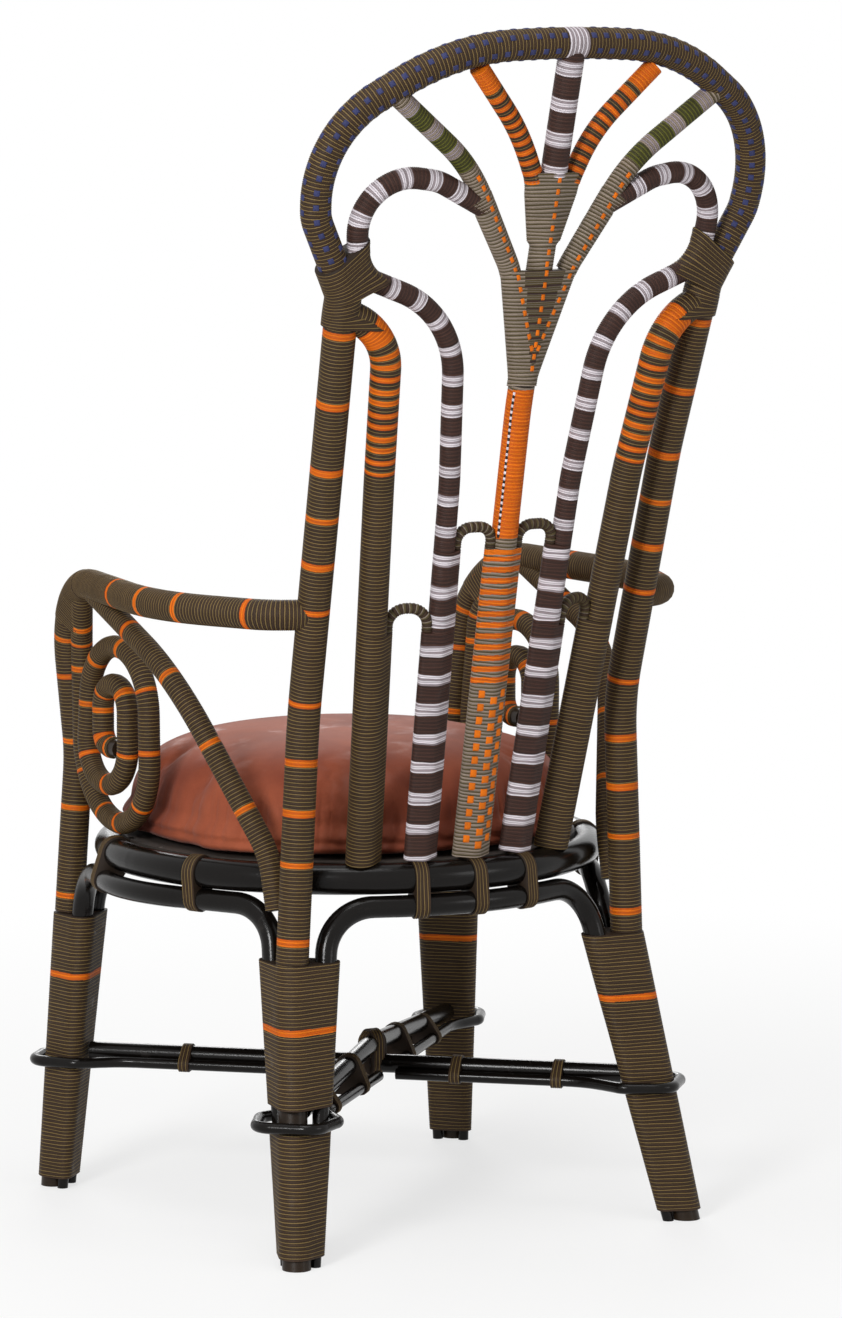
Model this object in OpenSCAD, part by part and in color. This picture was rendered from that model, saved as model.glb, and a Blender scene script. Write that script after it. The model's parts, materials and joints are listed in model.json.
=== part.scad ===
// Rattan throne chair: bent poles wound with cord, a palm-leaf back and a loose round cushion.
// Millimetres. X is the sitter's left, Y the back, Z up. The parts are drawn about the middle of the feet,
// and then set back so that the origin is on the floor under the middle of the whole chair.

/* [Seat] */
// Height of the seat ring's centre line
ring_h = 415; // [395:1:435]
// Radius of the seat ring's centre line
ring_r = 278; // [274:1:282]
// Distance of the seat ring's centre in front of the origin
ring_y = 55; // [51:1:59]
// Diameter of the seat ring's pole
ring_d = 35; // [31:0.5:36]
// Thickness of the seat deck
deck_t = 6; // [4:0.5:6]
// Distance from the ring's centre line in to the edge of the deck
deck_inset = 14; // [13:0.5:16]
// Shank diameter of a deck screw
screw_d = 4; // [3:0.5:5]
// Length of a deck screw
screw_l = 24; // [18:1:28]

/* [Cushion] */
// Radius of the cushion at its fullest
cushion_r = 252; // [230:1:253]
// Height of the cushion at its crown
cushion_t = 126; // [90:1:140]
// Height of the cushion's edge seam above the deck
seam_h = 22; // [14:1:30]
// Depth of the gathers round the side
gather_depth = 3; // [1:0.5:4]
// Number of gathers round the side
gathers_n = 24; // [12:1:24]

/* [Legs] */
// Rear foot, distance out from the middle
rear_foot_x = 258; // [250:1:266]
// Rear foot, distance back from the middle
rear_foot_y = 271; // [263:1:279]
// Front foot, distance out from the middle
front_foot_x = 277; // [269:1:285]
// Front foot, distance forward from the middle
front_foot_y = 272; // [264:1:280]
// Diameter of the rear post
post_d = 32.5; // [29:0.5:33]
// Diameter of the pole that makes each front leg and arm
arm_d = 30; // [27:0.5:31]
// Diameter of an apron arch
arch_d = 25; // [22:0.5:26]
// Diameter of an arch's tail at the floor
tail_d = 12; // [10:0.5:13]
// Gap between an arch's tail and its leg at the floor
tail_gap = 1.6; // [1.4:0.1:3]
// Gap between an arch's tail and a rear leg where the leg wrap ends
rear_top_gap = 14.5; // [13.5:0.5:17]
// Gap between an arch's tail and a front leg where the leg wrap ends
front_top_gap = 5; // [4:0.5:8]
// Bend radius of an apron arch where it turns down beside a leg
arch_bend = 56; // [54:0.5:58]
// Length of bare pole under the leg wraps
bare_foot = 12; // [6:1:16]
// Rear post above the seat, distance out from the middle
post_x = 209; // [206:0.5:212]
// Rear post above the seat, distance back from the middle
post_y = 203; // [200:0.5:206]

/* [Stretchers] */
// Height of the lower stretcher's centre line
stretcher_h = 163; // [155:1:170]
// Diameter of the two crossed stretchers
stretcher_d = 22; // [18:0.5:22.5]
// Diameter of the thin pole looped round each leg
loop_d = 13; // [11:0.5:13.5]
// Width of the cord bands that tie a loop to its stretcher
tie_band_w = 14; // [8:1:18]

/* [Back] */
// Height of the shoulder, where post and hoop meet
shoulder_h = 1083; // [1075:1:1091]
// Distance of the shoulder out from the middle
shoulder_x = 234; // [231:0.5:237]
// Distance of the shoulder back from the middle
shoulder_y = 335; // [331:1:339]
// Height of the hoop's centre line at the top above the shoulder
crest_rise = 267; // [259:1:275]
// Half width of the hoop at its widest
hoop_x = 282; // [277:1:287]
// Lean of the hoop from upright, in degrees
hoop_lean = 15.1; // [14:0.1:16]
// Distance by which the hoop's middle stands behind its sides
hoop_bow = 30; // [24:1:36]
// Diameter of the crest hoop
hoop_d = 29.5; // [27:0.5:31]
// Diameter of the olive stile beside each post
stile_d = 29.5; // [27:0.5:30.5]
// Diameter of the striped hook pole
hook_d = 19.5; // [17:0.5:20.5]
// Diameter of the centre pole
centre_d = 25; // [22:0.5:26]
// Diameter of an outer frond
outer_frond_d = 18.5; // [16:0.5:19]
// Diameter of an inner frond
inner_frond_d = 17.5; // [14:0.5:18]
// Diameter of a link hoop
link_d = 8; // [6:0.5:8.5]
// Height of the inner link hoops
inner_link_h = 815; // [790:1:840]
// Height of the outer link hoops
outer_link_h = 726; // [700:1:750]

/* [Arms] */
// Height of the arm rail's centre line
arm_h = 722; // [714:1:730]
// Distance of the arm rail's outer corner from the middle
arm_x = 321; // [316:1:326]
// Diameter of the brace under the arm
brace_d = 21.5; // [18:0.5:22.5]
// Diameter of the scroll
scroll_d = 21; // [18:0.5:22]
// Distance of the scroll out from the middle
scroll_x = 270; // [269:0.5:274]
// Distance between the turns of the scroll
scroll_step = 44; // [42:0.5:45]

/* [Winding] */
// Thickness of the cord wound round the poles
cord_d = 2.1; // [1.6:0.1:2.2]
// Width of the white band at the top of the hoop
crest_band_w = 25; // [16:1:32]
// Number of turns in a tie round the ring and an arch
tie_turns = 5; // [3:1:5]

/* [Fits] */
// Clearance between pieces that lie against each other
fit = 0.3; // [0.2:0.05:0.5]

/* [Hidden] */
$fn = 32;
joint_step = 0.1;   // a bend is this much stouter than a straight in radius, so the two join cleanly
joint_lap = 0.5;    // length by which a straight runs into its neighbouring bends
wrap = cord_d + fit;
deg = PI / 180;

// Vectors and routes. A route is a list of corners [x, y, z, bend radius].
function unit(v) = v / norm(v);
function spot(c) = [c[0], c[1], c[2]];
function across(u) = unit(cross(u, abs(u[2]) < 0.8 ? [0, 0, 1] : [0, 1, 0]));
function mix(a, b, t) = a + (b - a) * t;

function turn(route, i) =
    let (u = unit(spot(route[i]) - spot(route[i - 1])), v = unit(spot(route[i + 1]) - spot(route[i])))
    acos(min(1, max(-1, u * v)));
function cut_back(route, i) =
    i == 0 || i == len(route) - 1 ? 0 : route[i][3] * tan(turn(route, i) / 2);

// Placement with local Z along the pole and local X towards the middle of the bend
function placed(p, x, z) = let (y = cross(z, x)) [
    [x[0], y[0], z[0], p[0]], [x[1], y[1], z[1], p[1]], [x[2], y[2], z[2], p[2]], [0, 0, 0, 1]];

// A route's pieces, each [length, bend radius or 0, placement]
function bend_piece(route, i) =
    let (u = unit(spot(route[i]) - spot(route[i - 1])), v = unit(spot(route[i + 1]) - spot(route[i])),
         angle = turn(route, i))
    angle < 0.05 ? [] :
    [[route[i][3] * angle * deg, route[i][3],
      placed(spot(route[i]) - u * cut_back(route, i), unit(v - u * (u * v)), u)]];
function straight_piece(route, i) =
    let (a = spot(route[i]), b = spot(route[i + 1]), u = unit(b - a),
         l = norm(b - a) - cut_back(route, i) - cut_back(route, i + 1))
    l < 0.05 ? [] : [[l, 0, placed(a + u * cut_back(route, i), across(u), u)]];
function pieces(route) = [for (i = [0 : len(route) - 2])
    each concat(i > 0 ? bend_piece(route, i) : [], straight_piece(route, i))];
function total(list, n) = n <= 0 ? 0 : list[n - 1][0] + total(list, n - 1);
function route_length(route) = let (list = pieces(route)) total(list, len(list));

// Point of a route's straight lines at a given height, counted from its first corner
function at_height(route, z, i = 0) =
    let (a = spot(route[i]), b = spot(route[i + 1]))
    (a[2] - z) * (b[2] - z) <= 0 || i == len(route) - 2 ? mix(a, b, (z - a[2]) / (b[2] - a[2]))
    : at_height(route, z, i + 1);

module section(outer, inner) {
    if (inner > 0) difference() {
        circle(outer);
        circle(inner);
    }
    else circle(outer);
}

// Part of one piece of a route, from a to b along it, with the section given as a child
module stretch(piece, a, b) {
    r = piece[1];
    multmatrix(piece[2])
        if (r == 0) translate([0, 0, a]) linear_extrude(b - a) children();
        else multmatrix([[-1, 0, 0, r], [0, 0, 1, 0], [0, 1, 0, 0], [0, 0, 0, 1]])
            rotate([0, 0, a / r / deg]) rotate_extrude(angle = (b - a) / r / deg)
                translate([r, 0]) children();
}

// A round pole, or a sleeve where inner is given, along a route between two distances
module tube(route, outer, inner = 0, from = 0, to = 1e6) {
    list = pieces(route);
    for (i = [0 : len(list) - 1]) {
        start = total(list, i);
        a = max(from - start, 0);
        b = min(to - start, list[i][0]);
        stout = i % 2 == 0 ? 0 : 1;
        before = stout == 0 && a == 0 && i > 0 && from < start - 1 ? joint_lap : 0;
        after = stout == 0 && b == list[i][0] && i < len(list) - 1 && to > start + b + 1 ? joint_lap : 0;
        if (b - a > 0.05)
            stretch(list[i], a - before, b + after) section(outer - (1 - stout) * joint_step,
                inner == 0 ? 0 : inner + (1 - stout) * joint_step);
    }
}

module both_sides() {
    children();
    mirror([1, 0, 0]) children();
}

// Everything below a height, for cutting feet and pole ends flat
module below(z) {
    translate([-500, -500, z - 800]) cube([1000, 1000, 800]);
}

module above(z) {
    translate([-500, -500, z]) cube([1000, 1000, 400]);
}

// Outline round two circles that lie side by side
module pair_outline(r1, r2, d) {
    tip = acos((r1 - r2) / d);
    inside = 0.02;
    circle(r1);
    translate([d, 0]) circle(r2);
    polygon([[(r1 - inside) * cos(tip), (r1 - inside) * sin(tip)],
        [(r1 - inside) * cos(tip), -(r1 - inside) * sin(tip)],
        [d + (r2 - inside) * cos(tip), -(r2 - inside) * sin(tip)],
        [d + (r2 - inside) * cos(tip), (r2 - inside) * sin(tip)]]);
}

// Outline round a pole with a thinner one at one side (sides = 1) or at both
module bundle_outline(r1, r2, d, sides) {
    pair_outline(r1, r2, d);
    if (sides == 2) mirror([1, 0]) pair_outline(r1, r2, d);
}

// Radii
post_r = post_d / 2;
arm_r = arm_d / 2;
arch_r = arch_d / 2;
tail_r = tail_d / 2;
hoop_r = hoop_d / 2;
ring_tube_r = ring_d / 2;
stile_r = stile_d / 2;
hook_r = hook_d / 2;
centre_r = centre_d / 2;
outer_frond_r = outer_frond_d / 2;
inner_frond_r = inner_frond_d / 2;
link_r = link_d / 2;
brace_r = brace_d / 2;
scroll_r = scroll_d / 2;
bar_r = stretcher_d / 2;
loop_r = loop_d / 2;

// Ties round the ring: gap to what they bind and between turns, and how far they rise above the ring
tie_gap = 0.5;
tie_sides = 5;
tie_corner = cos(90 / tie_sides);
tie_rise = (ring_tube_r + tie_gap + cord_d / 2) / tie_corner + cord_d / 2 - ring_tube_r + fit;
tie_angles = [-14, 22, 76, 90, 104, 158, 194, 257, 283];

// Heights set by what a piece stands on
ring_top = ring_h + ring_tube_r;
pole_foot_h = ring_top + fit;
arch_h = ring_h - ring_tube_r - fit - arch_r;
leg_wrap_h = arch_h - arch_bend - 0.7;   // the wraps end where the arches leave the legs
crest_h = shoulder_h + crest_rise;
deck_notch = 1;
deck_h = ring_h + sqrt(pow(ring_tube_r, 2) - pow(deck_inset, 2)) + fit;
deck_r = ring_r - deck_inset;
cushion_h = deck_h + deck_t + fit;

// Posts
post_route = [
    [rear_foot_x, rear_foot_y, 0, 0],
    [post_x + 15, post_y - 4, 278, 160],
    [post_x, post_y, 600, 320],
    [mix(post_x, shoulder_x, 0.46), mix(post_y, shoulder_y, 0.557), mix(600, shoulder_h, 0.6), 900],
    [shoulder_x, shoulder_y, shoulder_h, 0]
];
post_span = route_length(post_route);

// The hoop lies on a leaning, slightly bowed surface: u out from the middle, z up
function on_hoop(u, z, r) = [u, shoulder_y + (z - shoulder_h) * tan(hoop_lean)
    + hoop_bow * (pow(shoulder_x, 2) - u * u) / pow(hoop_x, 2), z, r];
hoop_half = [
    [shoulder_x, shoulder_h, 0],
    [hoop_x - 6, shoulder_h + 80, 50],
    [hoop_x + 4.5, crest_h - 96, 130],
    [hoop_x / 2, crest_h - 6, 255]
];
hoop_route = concat(
    [for (c = hoop_half) on_hoop(c[0], c[1], c[2])],
    [on_hoop(0, crest_h, 700)],
    [for (i = [len(hoop_half) - 1 : -1 : 0]) on_hoop(-hoop_half[i][0], hoop_half[i][1], hoop_half[i][2])]
);
hoop_span = route_length(hoop_route);

// Middle of the chair's whole depth, from the front of the seat ring to the back of the crest hoop
crest_i = len(hoop_half);
crest_cut = hoop_route[crest_i][3] * (1 / cos(turn(hoop_route, crest_i) / 2) - 1);
crest_inward = unit(
    (spot(hoop_route[crest_i - 1]) + spot(hoop_route[crest_i + 1])) / 2 - spot(hoop_route[crest_i]));
back_most = (spot(hoop_route[crest_i]) + crest_inward * crest_cut)[1] + hoop_r + wrap;
middle_y = (back_most - ring_y - ring_r - ring_tube_r) / 2;
echo(middle_of_the_depth = middle_y);
module about_middle() { translate([0, -middle_y, 0]) children(); }

// Front leg and arm in one pole, from the front foot to the rear post
arm_end = at_height(post_route, arm_h);
knuckle_y = -235;
knuckle_r = 108;
arm_route = [
    [front_foot_x, -front_foot_y, 0, 0],
    [arm_x - 66, knuckle_y - 8, arm_h - 204, 300],
    [arm_x - 41, knuckle_y, arm_h + 7, knuckle_r],
    [arm_x, 66, arm_h, 300],
    [arm_x - 61, arm_end[1] - 21, arm_h, 60],
    [arm_end[0], arm_end[1], arm_h, 0]
];
arm_span = route_length(arm_route);

// Brace from under the arm rail down to the front of the rear post
brace_route = [
    [arm_x - 28, -132, arm_h - 4, 0],
    [arm_x - 30, 55, arm_h - 82, 190],
    [post_x + 15, post_y - 50, ring_h + 30, 130],
    [post_x + 14, post_y - 35, ring_h - 31, 0]
];

// Scroll: corners of a spiral with rounded turns, wound in from the stem under the arm
scroll_foot = ring_top + tie_rise + scroll_r + wrap + fit;
scroll_back = -44;
scroll_front = -218;
scroll_top = arm_h - 67;
stem_lean = 13;
scroll_in = scroll_front + 2 * (scroll_r + wrap) + 2 * fit;
scroll_route = [
    [arm_x - 32, -168, arm_h - 2, 0],
    [scroll_x, scroll_front + stem_lean, arm_h - 70, 60],
    [scroll_x - 10, scroll_front, scroll_foot, 86],
    [scroll_x - 2, scroll_back, scroll_foot, 82],
    [scroll_x, scroll_back, scroll_top, 72],
    [scroll_x, scroll_in + stem_lean, scroll_top, 66],
    [scroll_x + 2, scroll_in, scroll_foot + scroll_step, 48],
    [scroll_x + 3, scroll_back - scroll_step, scroll_foot + scroll_step, 49],
    [scroll_x + 3, scroll_back - scroll_step, scroll_top - scroll_step, 29],
    [scroll_x + 3, scroll_in + scroll_step, scroll_top - scroll_step, 28],
    [scroll_x + 3, scroll_in + scroll_step, scroll_foot + 2 * scroll_step, 20],
    [scroll_x + 3, scroll_in + 2 * scroll_step - 3, scroll_foot + 2 * scroll_step, 0]
];
scroll_span = route_length(scroll_route);
scroll_tip = 14;

// Back poles. Each stands on the ring, a little in front of the ring's centre line
function ring_back(x, ahead) = sqrt(ring_r * ring_r - x * x) - ring_y - ahead;
pole_start = pole_foot_h - 10;
centre_bend = [316, 944];
centre_route = [
    [0, ring_back(0, 9), pole_start, 0],
    [0, centre_bend[0], centre_bend[1], 500],
    on_hoop(0, crest_h - 1, 0)
];
palm_h = 975;
palm_top = 1100;
outer_frond_route = [
    concat(at_height(centre_route, palm_h) + [2, 0, 0], 0),
    [33, 357, palm_top - 4, 150],
    [102, 381, 1217, 200],
    on_hoop(207, crest_h - 53, 0)
];
hook_tip = at_height(outer_frond_route, 1170);
hook_route = [
    concat(hook_tip, 0),
    [138, shoulder_y + 41, shoulder_h + 118, 54],
    [shoulder_x + 1, shoulder_y + 31, shoulder_h + 132, 58],
    [shoulder_x - 15, shoulder_y + 6, shoulder_h + 18, 33],
    [98, shoulder_y + 8, shoulder_h - 28, 112],
    [79, 301, 867, 500],
    [62, ring_back(62, 8), pole_start, 0]
];
stile_tip = at_height(post_route, shoulder_h - 23);
stile_route = [
    concat(stile_tip, 0),
    [shoulder_x - 55, shoulder_y + 2, shoulder_h - 43, 68],
    [162, 289, 871, 600],
    [127, ring_back(127, 5), pole_start, 0]
];
frond_foot_h = 1132;
frond_tip_r = 2.5;
frond_foot = at_height(centre_route, frond_foot_h) + [centre_r + frond_tip_r + fit + 0.6, 0, 0];
frond_bend = at_height(centre_route, 1200) + [centre_r + inner_frond_r + fit + 1.2, 0, 0];
frond_join = mix(frond_foot, frond_bend, 0.78);
inner_frond_route = [
    concat(frond_join, 0),
    concat(frond_bend, 60),
    [46.5, 393.5, 1253, 200],
    on_hoop(112, crest_h - 27, 0)
];

// Link hoops: the tails lie against the poles beside them
function beside(route, z, dx) = at_height(route, z) + [dx, 0, 0];
link_foot_h = pole_foot_h + tie_rise;
to_centre = centre_r + link_r + fit + 0.4;
to_hook = hook_r + link_r + fit + 0.4;
to_stile = stile_r + link_r + fit + 0.8;
function link_corners(a, da, b, db, top, r) = [
    concat(beside(a, link_foot_h, da), 0), concat(beside(a, top, da), r),
    concat(beside(b, top, db), r), concat(beside(b, link_foot_h, db), 0)];
inner_link_route = link_corners(centre_route, to_centre, hook_route, -to_hook, inner_link_h, 17);
outer_link_route = link_corners(hook_route, to_hook, stile_route, -to_stile, outer_link_h, 20);

// Apron arches: tails run down beside the legs, the middles follow the ring from below
rear_leg_top = at_height(post_route, leg_wrap_h);
front_leg_top = at_height(arm_route, leg_wrap_h);
function tail(foot, leg, leg_r, top_gap, side) = [
    foot + side * (leg_r + tail_r + tail_gap), leg + side * (leg_r + arch_r + top_gap)];
rear_inward = tail(spot(post_route[0]), rear_leg_top, post_r, rear_top_gap, [-1, 0, 0]);
rear_forward = tail(spot(post_route[0]), rear_leg_top, post_r, rear_top_gap, [0, -1, 0]);
front_inward = tail(spot(arm_route[0]), front_leg_top, arm_r, front_top_gap, [-1, 0, 0]);
front_backward = tail(spot(arm_route[0]), front_leg_top, arm_r, front_top_gap, [0, 1, 0]);
function carry_on(t, z) = mix(t[0], t[1], z / leg_wrap_h);
back_arch_top = carry_on(rear_inward, arch_h);
front_arch_top = carry_on(front_inward, arch_h);
side_arch_back = carry_on(rear_forward, arch_h);
side_arch_front = carry_on(front_backward, arch_h);
function arch_route(a, a_top, middle, r, b_top, b) = [
    concat(a, 0), concat(a_top, arch_bend), [middle[0], middle[1], arch_h, r],
    concat(b_top, arch_bend), concat(b, 0)];
function flipped(p) = [-p[0], p[1], p[2]];
function mirrored(route) = [for (c = route) [-c[0], c[1], c[2], c[3]]];
back_arch = arch_route(rear_inward[1], back_arch_top, [0, ring_r - ring_y + 27], ring_r,
    flipped(back_arch_top), flipped(rear_inward[1]));
front_arch = arch_route(front_inward[1], front_arch_top, [0, -ring_r - ring_y - 30], 230,
    flipped(front_arch_top), flipped(front_inward[1]));
side_arch = arch_route(front_backward[1], side_arch_front, [ring_r + 29, -40], 200,
    side_arch_back, rear_forward[1]);
back_feet = [rear_inward[0], flipped(rear_inward[0])];
front_feet = [front_inward[0], flipped(front_inward[0])];
side_feet = [front_backward[0], rear_forward[0]];

// Stretchers
rear_leg = at_height(post_route, stretcher_h);
front_leg = at_height(arm_route, stretcher_h);
wrap_slack = 1.4;
loop_drop = 9;
loop_h = stretcher_h - loop_drop;
loop_side = bar_r + loop_r - 1.5;
loop_start = 32;
loop_flare = 76;
function along(leg) = unit([leg[0], leg[1], 0]);
function sideways(leg) = cross([0, 0, 1], along(leg));
function tail_at(t, z) = mix(t[0], t[1], z / leg_wrap_h);
function tail_radius(z) = mix(tail_r, arch_r, z / leg_wrap_h);
rear_tails = [rear_inward, rear_forward];
front_tails = [front_inward, front_backward];
bar_clear = 3.5;
function bar_gap(leg, tails) = max([for (t = tails) (leg - tail_at(t, stretcher_h)) * along(leg)])
    + tail_radius(stretcher_h) + wrap_slack + wrap + bar_clear;
rear_bar_end = rear_leg - along(rear_leg) * bar_gap(rear_leg, rear_tails);
front_bar_end = front_leg - along(front_leg) * bar_gap(front_leg, front_tails);
crossing_gap = 2;
upper_mid = stretcher_h + stretcher_d + crossing_gap;

// Poles

// A pole that runs on past its first corner, so that its end can be cut flat
function run_on(route, l) = concat(
    [concat(spot(route[0]) - unit(spot(route[1]) - spot(route[0])) * l, 0)],
    [for (i = [1 : len(route) - 1]) route[i]]);
function reversed(route) = [for (i = [len(route) - 1 : -1 : 0]) route[i]];
function run_through(route, l) = reversed(run_on(reversed(run_on(route, l)), l));
run = 12;

// The wrapped posts, rails and hoop, as cut out of the pieces that end against them
module at_post() { tube(post_route, post_r + wrap + fit, from = 600); }

module at_rail() { tube(arm_route, arm_r + wrap + fit, from = arm_span - 560, to = arm_span - 180); }

module at_crest() { tube(hoop_route, hoop_r + wrap + fit, from = 220, to = hoop_span - 220); }

module rear_post() color("#3b2f22") difference() {
    tube(run_through(post_route, run), post_r);
    below(0);
    translate([0, 0, shoulder_h - fit / 2]) above(0);
    shoulder_dowel(fit / 2);
}

module arm_pole() color("#3b2f22") difference() {
    tube(run_on(arm_route, run), arm_r);
    below(0);
    at_post();
}

module arm_scroll() color("#33291f") difference() {
    tube(scroll_route, scroll_r);
    at_rail();
}

module arm_brace() color("#33291f") difference() {
    tube(brace_route, brace_r);
    at_rail();
}

module seat_ring() color("#15130f") difference() {
    translate([0, -ring_y, ring_h]) rotate_extrude() translate([ring_r, 0]) circle(ring_tube_r);
    screw_holes();
}

// An arch with its two tails, which thin towards the floor beside the legs
module arch(route, feet) color("#15130f") {
    tube(route, arch_r);
    for (i = [0, 1]) tail_cone(i == 0 ? route[0] : route[len(route) - 1], feet[i]);
}

module tail_cone(top, foot) {
    a = spot(top);
    u = unit(foot - a);
    difference() {
        multmatrix(placed(a - u * joint_lap, across(u), u))
            cylinder(h = norm(foot - a) + run, r1 = arch_r - 2 * joint_step, r2 = tail_r);
        below(0);
    }
}

module crest_hoop() color("#332a20") difference() {
    tube(run_through(hoop_route, run), hoop_r);
    translate([0, 0, shoulder_h + fit / 2]) below(0);
    both_sides() shoulder_dowel(fit / 2);
}

// Dowel across the joint of post and hoop, along the line between their directions
dowel_r = 5;
dowel_half = 20;
module shoulder_dowel(gap) {
    shoulder = spot(hoop_route[0]);
    u = unit(unit(shoulder - spot(post_route[len(post_route) - 2])) + unit(spot(hoop_route[1]) - shoulder));
    multmatrix(placed(shoulder - u * (dowel_half + gap), across(u), u))
        cylinder(h = 2 * (dowel_half + gap), r = dowel_r + gap);
}

module shoulder_dowels() color("#8a6b42") both_sides() shoulder_dowel(0);

module back_stile() color("#3d3526") difference() {
    tube(stile_route, stile_r);
    below(pole_foot_h);
    at_post();
}

module hook_pole() color("#3c2a26") difference() {
    tube(hook_route, hook_r);
    below(pole_foot_h);
    tube(outer_frond_route, outer_frond_r + wrap + fit);
    tie_room();
}

module centre_pole() color("#4a4436") difference() {
    tube(centre_route, centre_r);
    below(pole_foot_h);
    at_crest();
    tie_room();
}

module outer_frond() color("#5c5a45") difference() {
    tube(outer_frond_route, outer_frond_r);
    tube(centre_route, centre_r + fit);
    at_crest();
}

// The inner frond is shaved to a thin end that lies along the centre pole
module inner_frond() color("#5c5a45") difference() {
    frond_shape(0);
    at_crest();
}

module frond_shape(gap) {
    tube(inner_frond_route, inner_frond_r + gap);
    u = unit(frond_foot - frond_join);
    r_join = inner_frond_r - 2 * joint_step;
    multmatrix(placed(frond_join - u * joint_lap, across(u), u))
        cylinder(h = norm(frond_foot - frond_join), r1 = r_join + gap, r2 = frond_tip_r + gap);
}

module inner_link() color("#3b2f22") tube(inner_link_route, link_r);

module outer_link() color("#3b2f22") tube(outer_link_route, link_r);

function bar(leg, other, mid) = [
    [leg[0], leg[1], stretcher_h, 0], [0, 0, mid, 300], [other[0], other[1], stretcher_h, 0]];
lower_route = bar(front_bar_end, flipped(rear_bar_end), stretcher_h);
upper_route = bar(flipped(front_bar_end), rear_bar_end, upper_mid);

module stretcher(route) color("#15130f") tube(route, bar_r);

// Thin pole looped round one leg: out along one side of the stretcher, round the leg and back
loop_clear = 4.5;
function loop_round(leg, tails) = max([for (t = tails) abs((tail_at(t, loop_h) - leg) * sideways(leg))])
    + tail_radius(loop_h) + loop_r + loop_clear;
function loop_corners(leg, tails, bar_leg) =
    let (l = norm([leg[0], leg[1]]), past = l + post_r + loop_r + loop_clear, w = loop_round(leg, tails))
    [for (c = [[loop_start, loop_side, 0], [l - loop_flare, loop_side, 80],
               [l - 28, w, 18], [past, w - 11, 21], [past, 11 - w, 21], [l - 28, -w, 18],
               [l - loop_flare, -loop_side, 80], [loop_start, -loop_side, 0]])
        concat(along(bar_leg) * c[0] + sideways(bar_leg) * c[1] + [0, 0, loop_h], c[2])];
rear_loop = loop_corners(at_height(post_route, loop_h), rear_tails, rear_leg);
front_loop = loop_corners(at_height(arm_route, loop_h), front_tails, front_leg);

module stretcher_loop(route) color("#15130f") tube(route, loop_r);

// Seat
module seat_deck() color("#b9b2a4") difference() {
    translate([0, -ring_y, deck_h]) cylinder(r = deck_r, h = deck_t, $fn = 90);
    screw_holes();
    at_ties() translate([-ring_tube_r - wrap - deck_notch, -tie_w / 2 - 1, -50]) cube([50, tie_w + 2, 100]);
}

// One screw in the middle between two ties, where they are far enough apart
screw_ring_r = deck_r - 5;
screw_room = 20;
function next_tie(i) = i < len(tie_angles) - 1 ? tie_angles[i + 1] : tie_angles[0] + 360;
module at_screws() {
    for (i = [0 : len(tie_angles) - 1]) if (next_tie(i) - tie_angles[i] > screw_room)
        translate([0, -ring_y, 0]) rotate([0, 0, (tie_angles[i] + next_tie(i)) / 2])
            translate([screw_ring_r, 0, deck_h + deck_t]) children();
}

module screw_shape(gap) {
    translate([0, 0, -screw_l]) cylinder(r = screw_d / 2 + gap, h = screw_l + gap);
    head = screw_d / 2 + gap;
    translate([0, 0, -head]) cylinder(r1 = head, r2 = screw_d + gap, h = head);
}

module screw_holes() { at_screws() screw_shape(0.15); }

module deck_screws() color("#9a9a96") at_screws() screw_shape(0);

// Cushion: a round crowned form with gathers that fade towards the crown and the base
rings_n = 13;
sides_n = 72;
function cushion_point(i, j) =
    let (t = i / (rings_n - 1), a = j * 360 / sides_n,
         bulge = t < 0.2 ? 0.9 + 0.5 * t : cos(90 * pow((t - 0.2) / 0.8, 1.9)),
         h = t < 0.2 ? seam_h * t / 0.2 : seam_h + (cushion_t - seam_h) * sin(90 * (t - 0.2) / 0.8),
         pull = sin(180 * min(1, t * 1.1)) * gather_depth * (1 + cos(a * gathers_n)) / 2,
         r = max(0, cushion_r * bulge - pull))
    [r * cos(a), r * sin(a) - ring_y, cushion_h + h];

module seat_cushion() color("#a5553a") polyhedron(
    points = concat([for (i = [0 : rings_n - 2], j = [0 : sides_n - 1]) cushion_point(i, j)],
        [[0, -ring_y, cushion_h], [0, -ring_y, cushion_h + cushion_t]]),
    faces = concat(
        [for (i = [0 : rings_n - 3], j = [0 : sides_n - 1], k = [0, 1])
            let (a = i * sides_n + j, b = i * sides_n + (j + 1) % sides_n)
            k == 0 ? [a, b + sides_n, b] : [a, a + sides_n, b + sides_n]],
        [for (j = [0 : sides_n - 1]) [(rings_n - 1) * sides_n, j, (j + 1) % sides_n]],
        [for (j = [0 : sides_n - 1]) let (a = (rings_n - 2) * sides_n)
            [(rings_n - 1) * sides_n + 1, a + (j + 1) % sides_n, a + j]]));

// Windings

module sleeve(route, r, from, to) {
    tube(route, r + wrap, r + fit, from, to);
}

post_wrap_from = leg_wrap_h + 34;
module post_wrap() color("#4a3f2d") difference() {
    sleeve(post_route, post_r, post_wrap_from, post_span);
    tube(brace_route, brace_r + wrap + fit, from = 170);
    shoulder_mass(fit);
}

module arm_wrap() color("#4a3f2d") difference() {
    sleeve(arm_route, arm_r, leg_wrap_h + 34, arm_span - 6);
    at_post();
}

module scroll_wrap() color("#4a3f2d") difference() {
    sleeve(scroll_route, scroll_r, 2, scroll_span - scroll_tip);
    at_rail();
}

module brace_wraps() color("#4a3f2d") both_sides() difference() {
    sleeve(brace_route, brace_r, 2, route_length(brace_route) - 1);
    at_rail();
}

module crest_wrap() color("#40382b") both_sides() difference() {
    sleeve(hoop_route, hoop_r, 0, (hoop_span - crest_band_w) / 2);
    shoulder_mass(fit);
}

module crest_band() color("#c9c6cf")
    sleeve(hoop_route, hoop_r, (hoop_span - crest_band_w) / 2 + fit, (hoop_span + crest_band_w) / 2 - fit);

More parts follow.
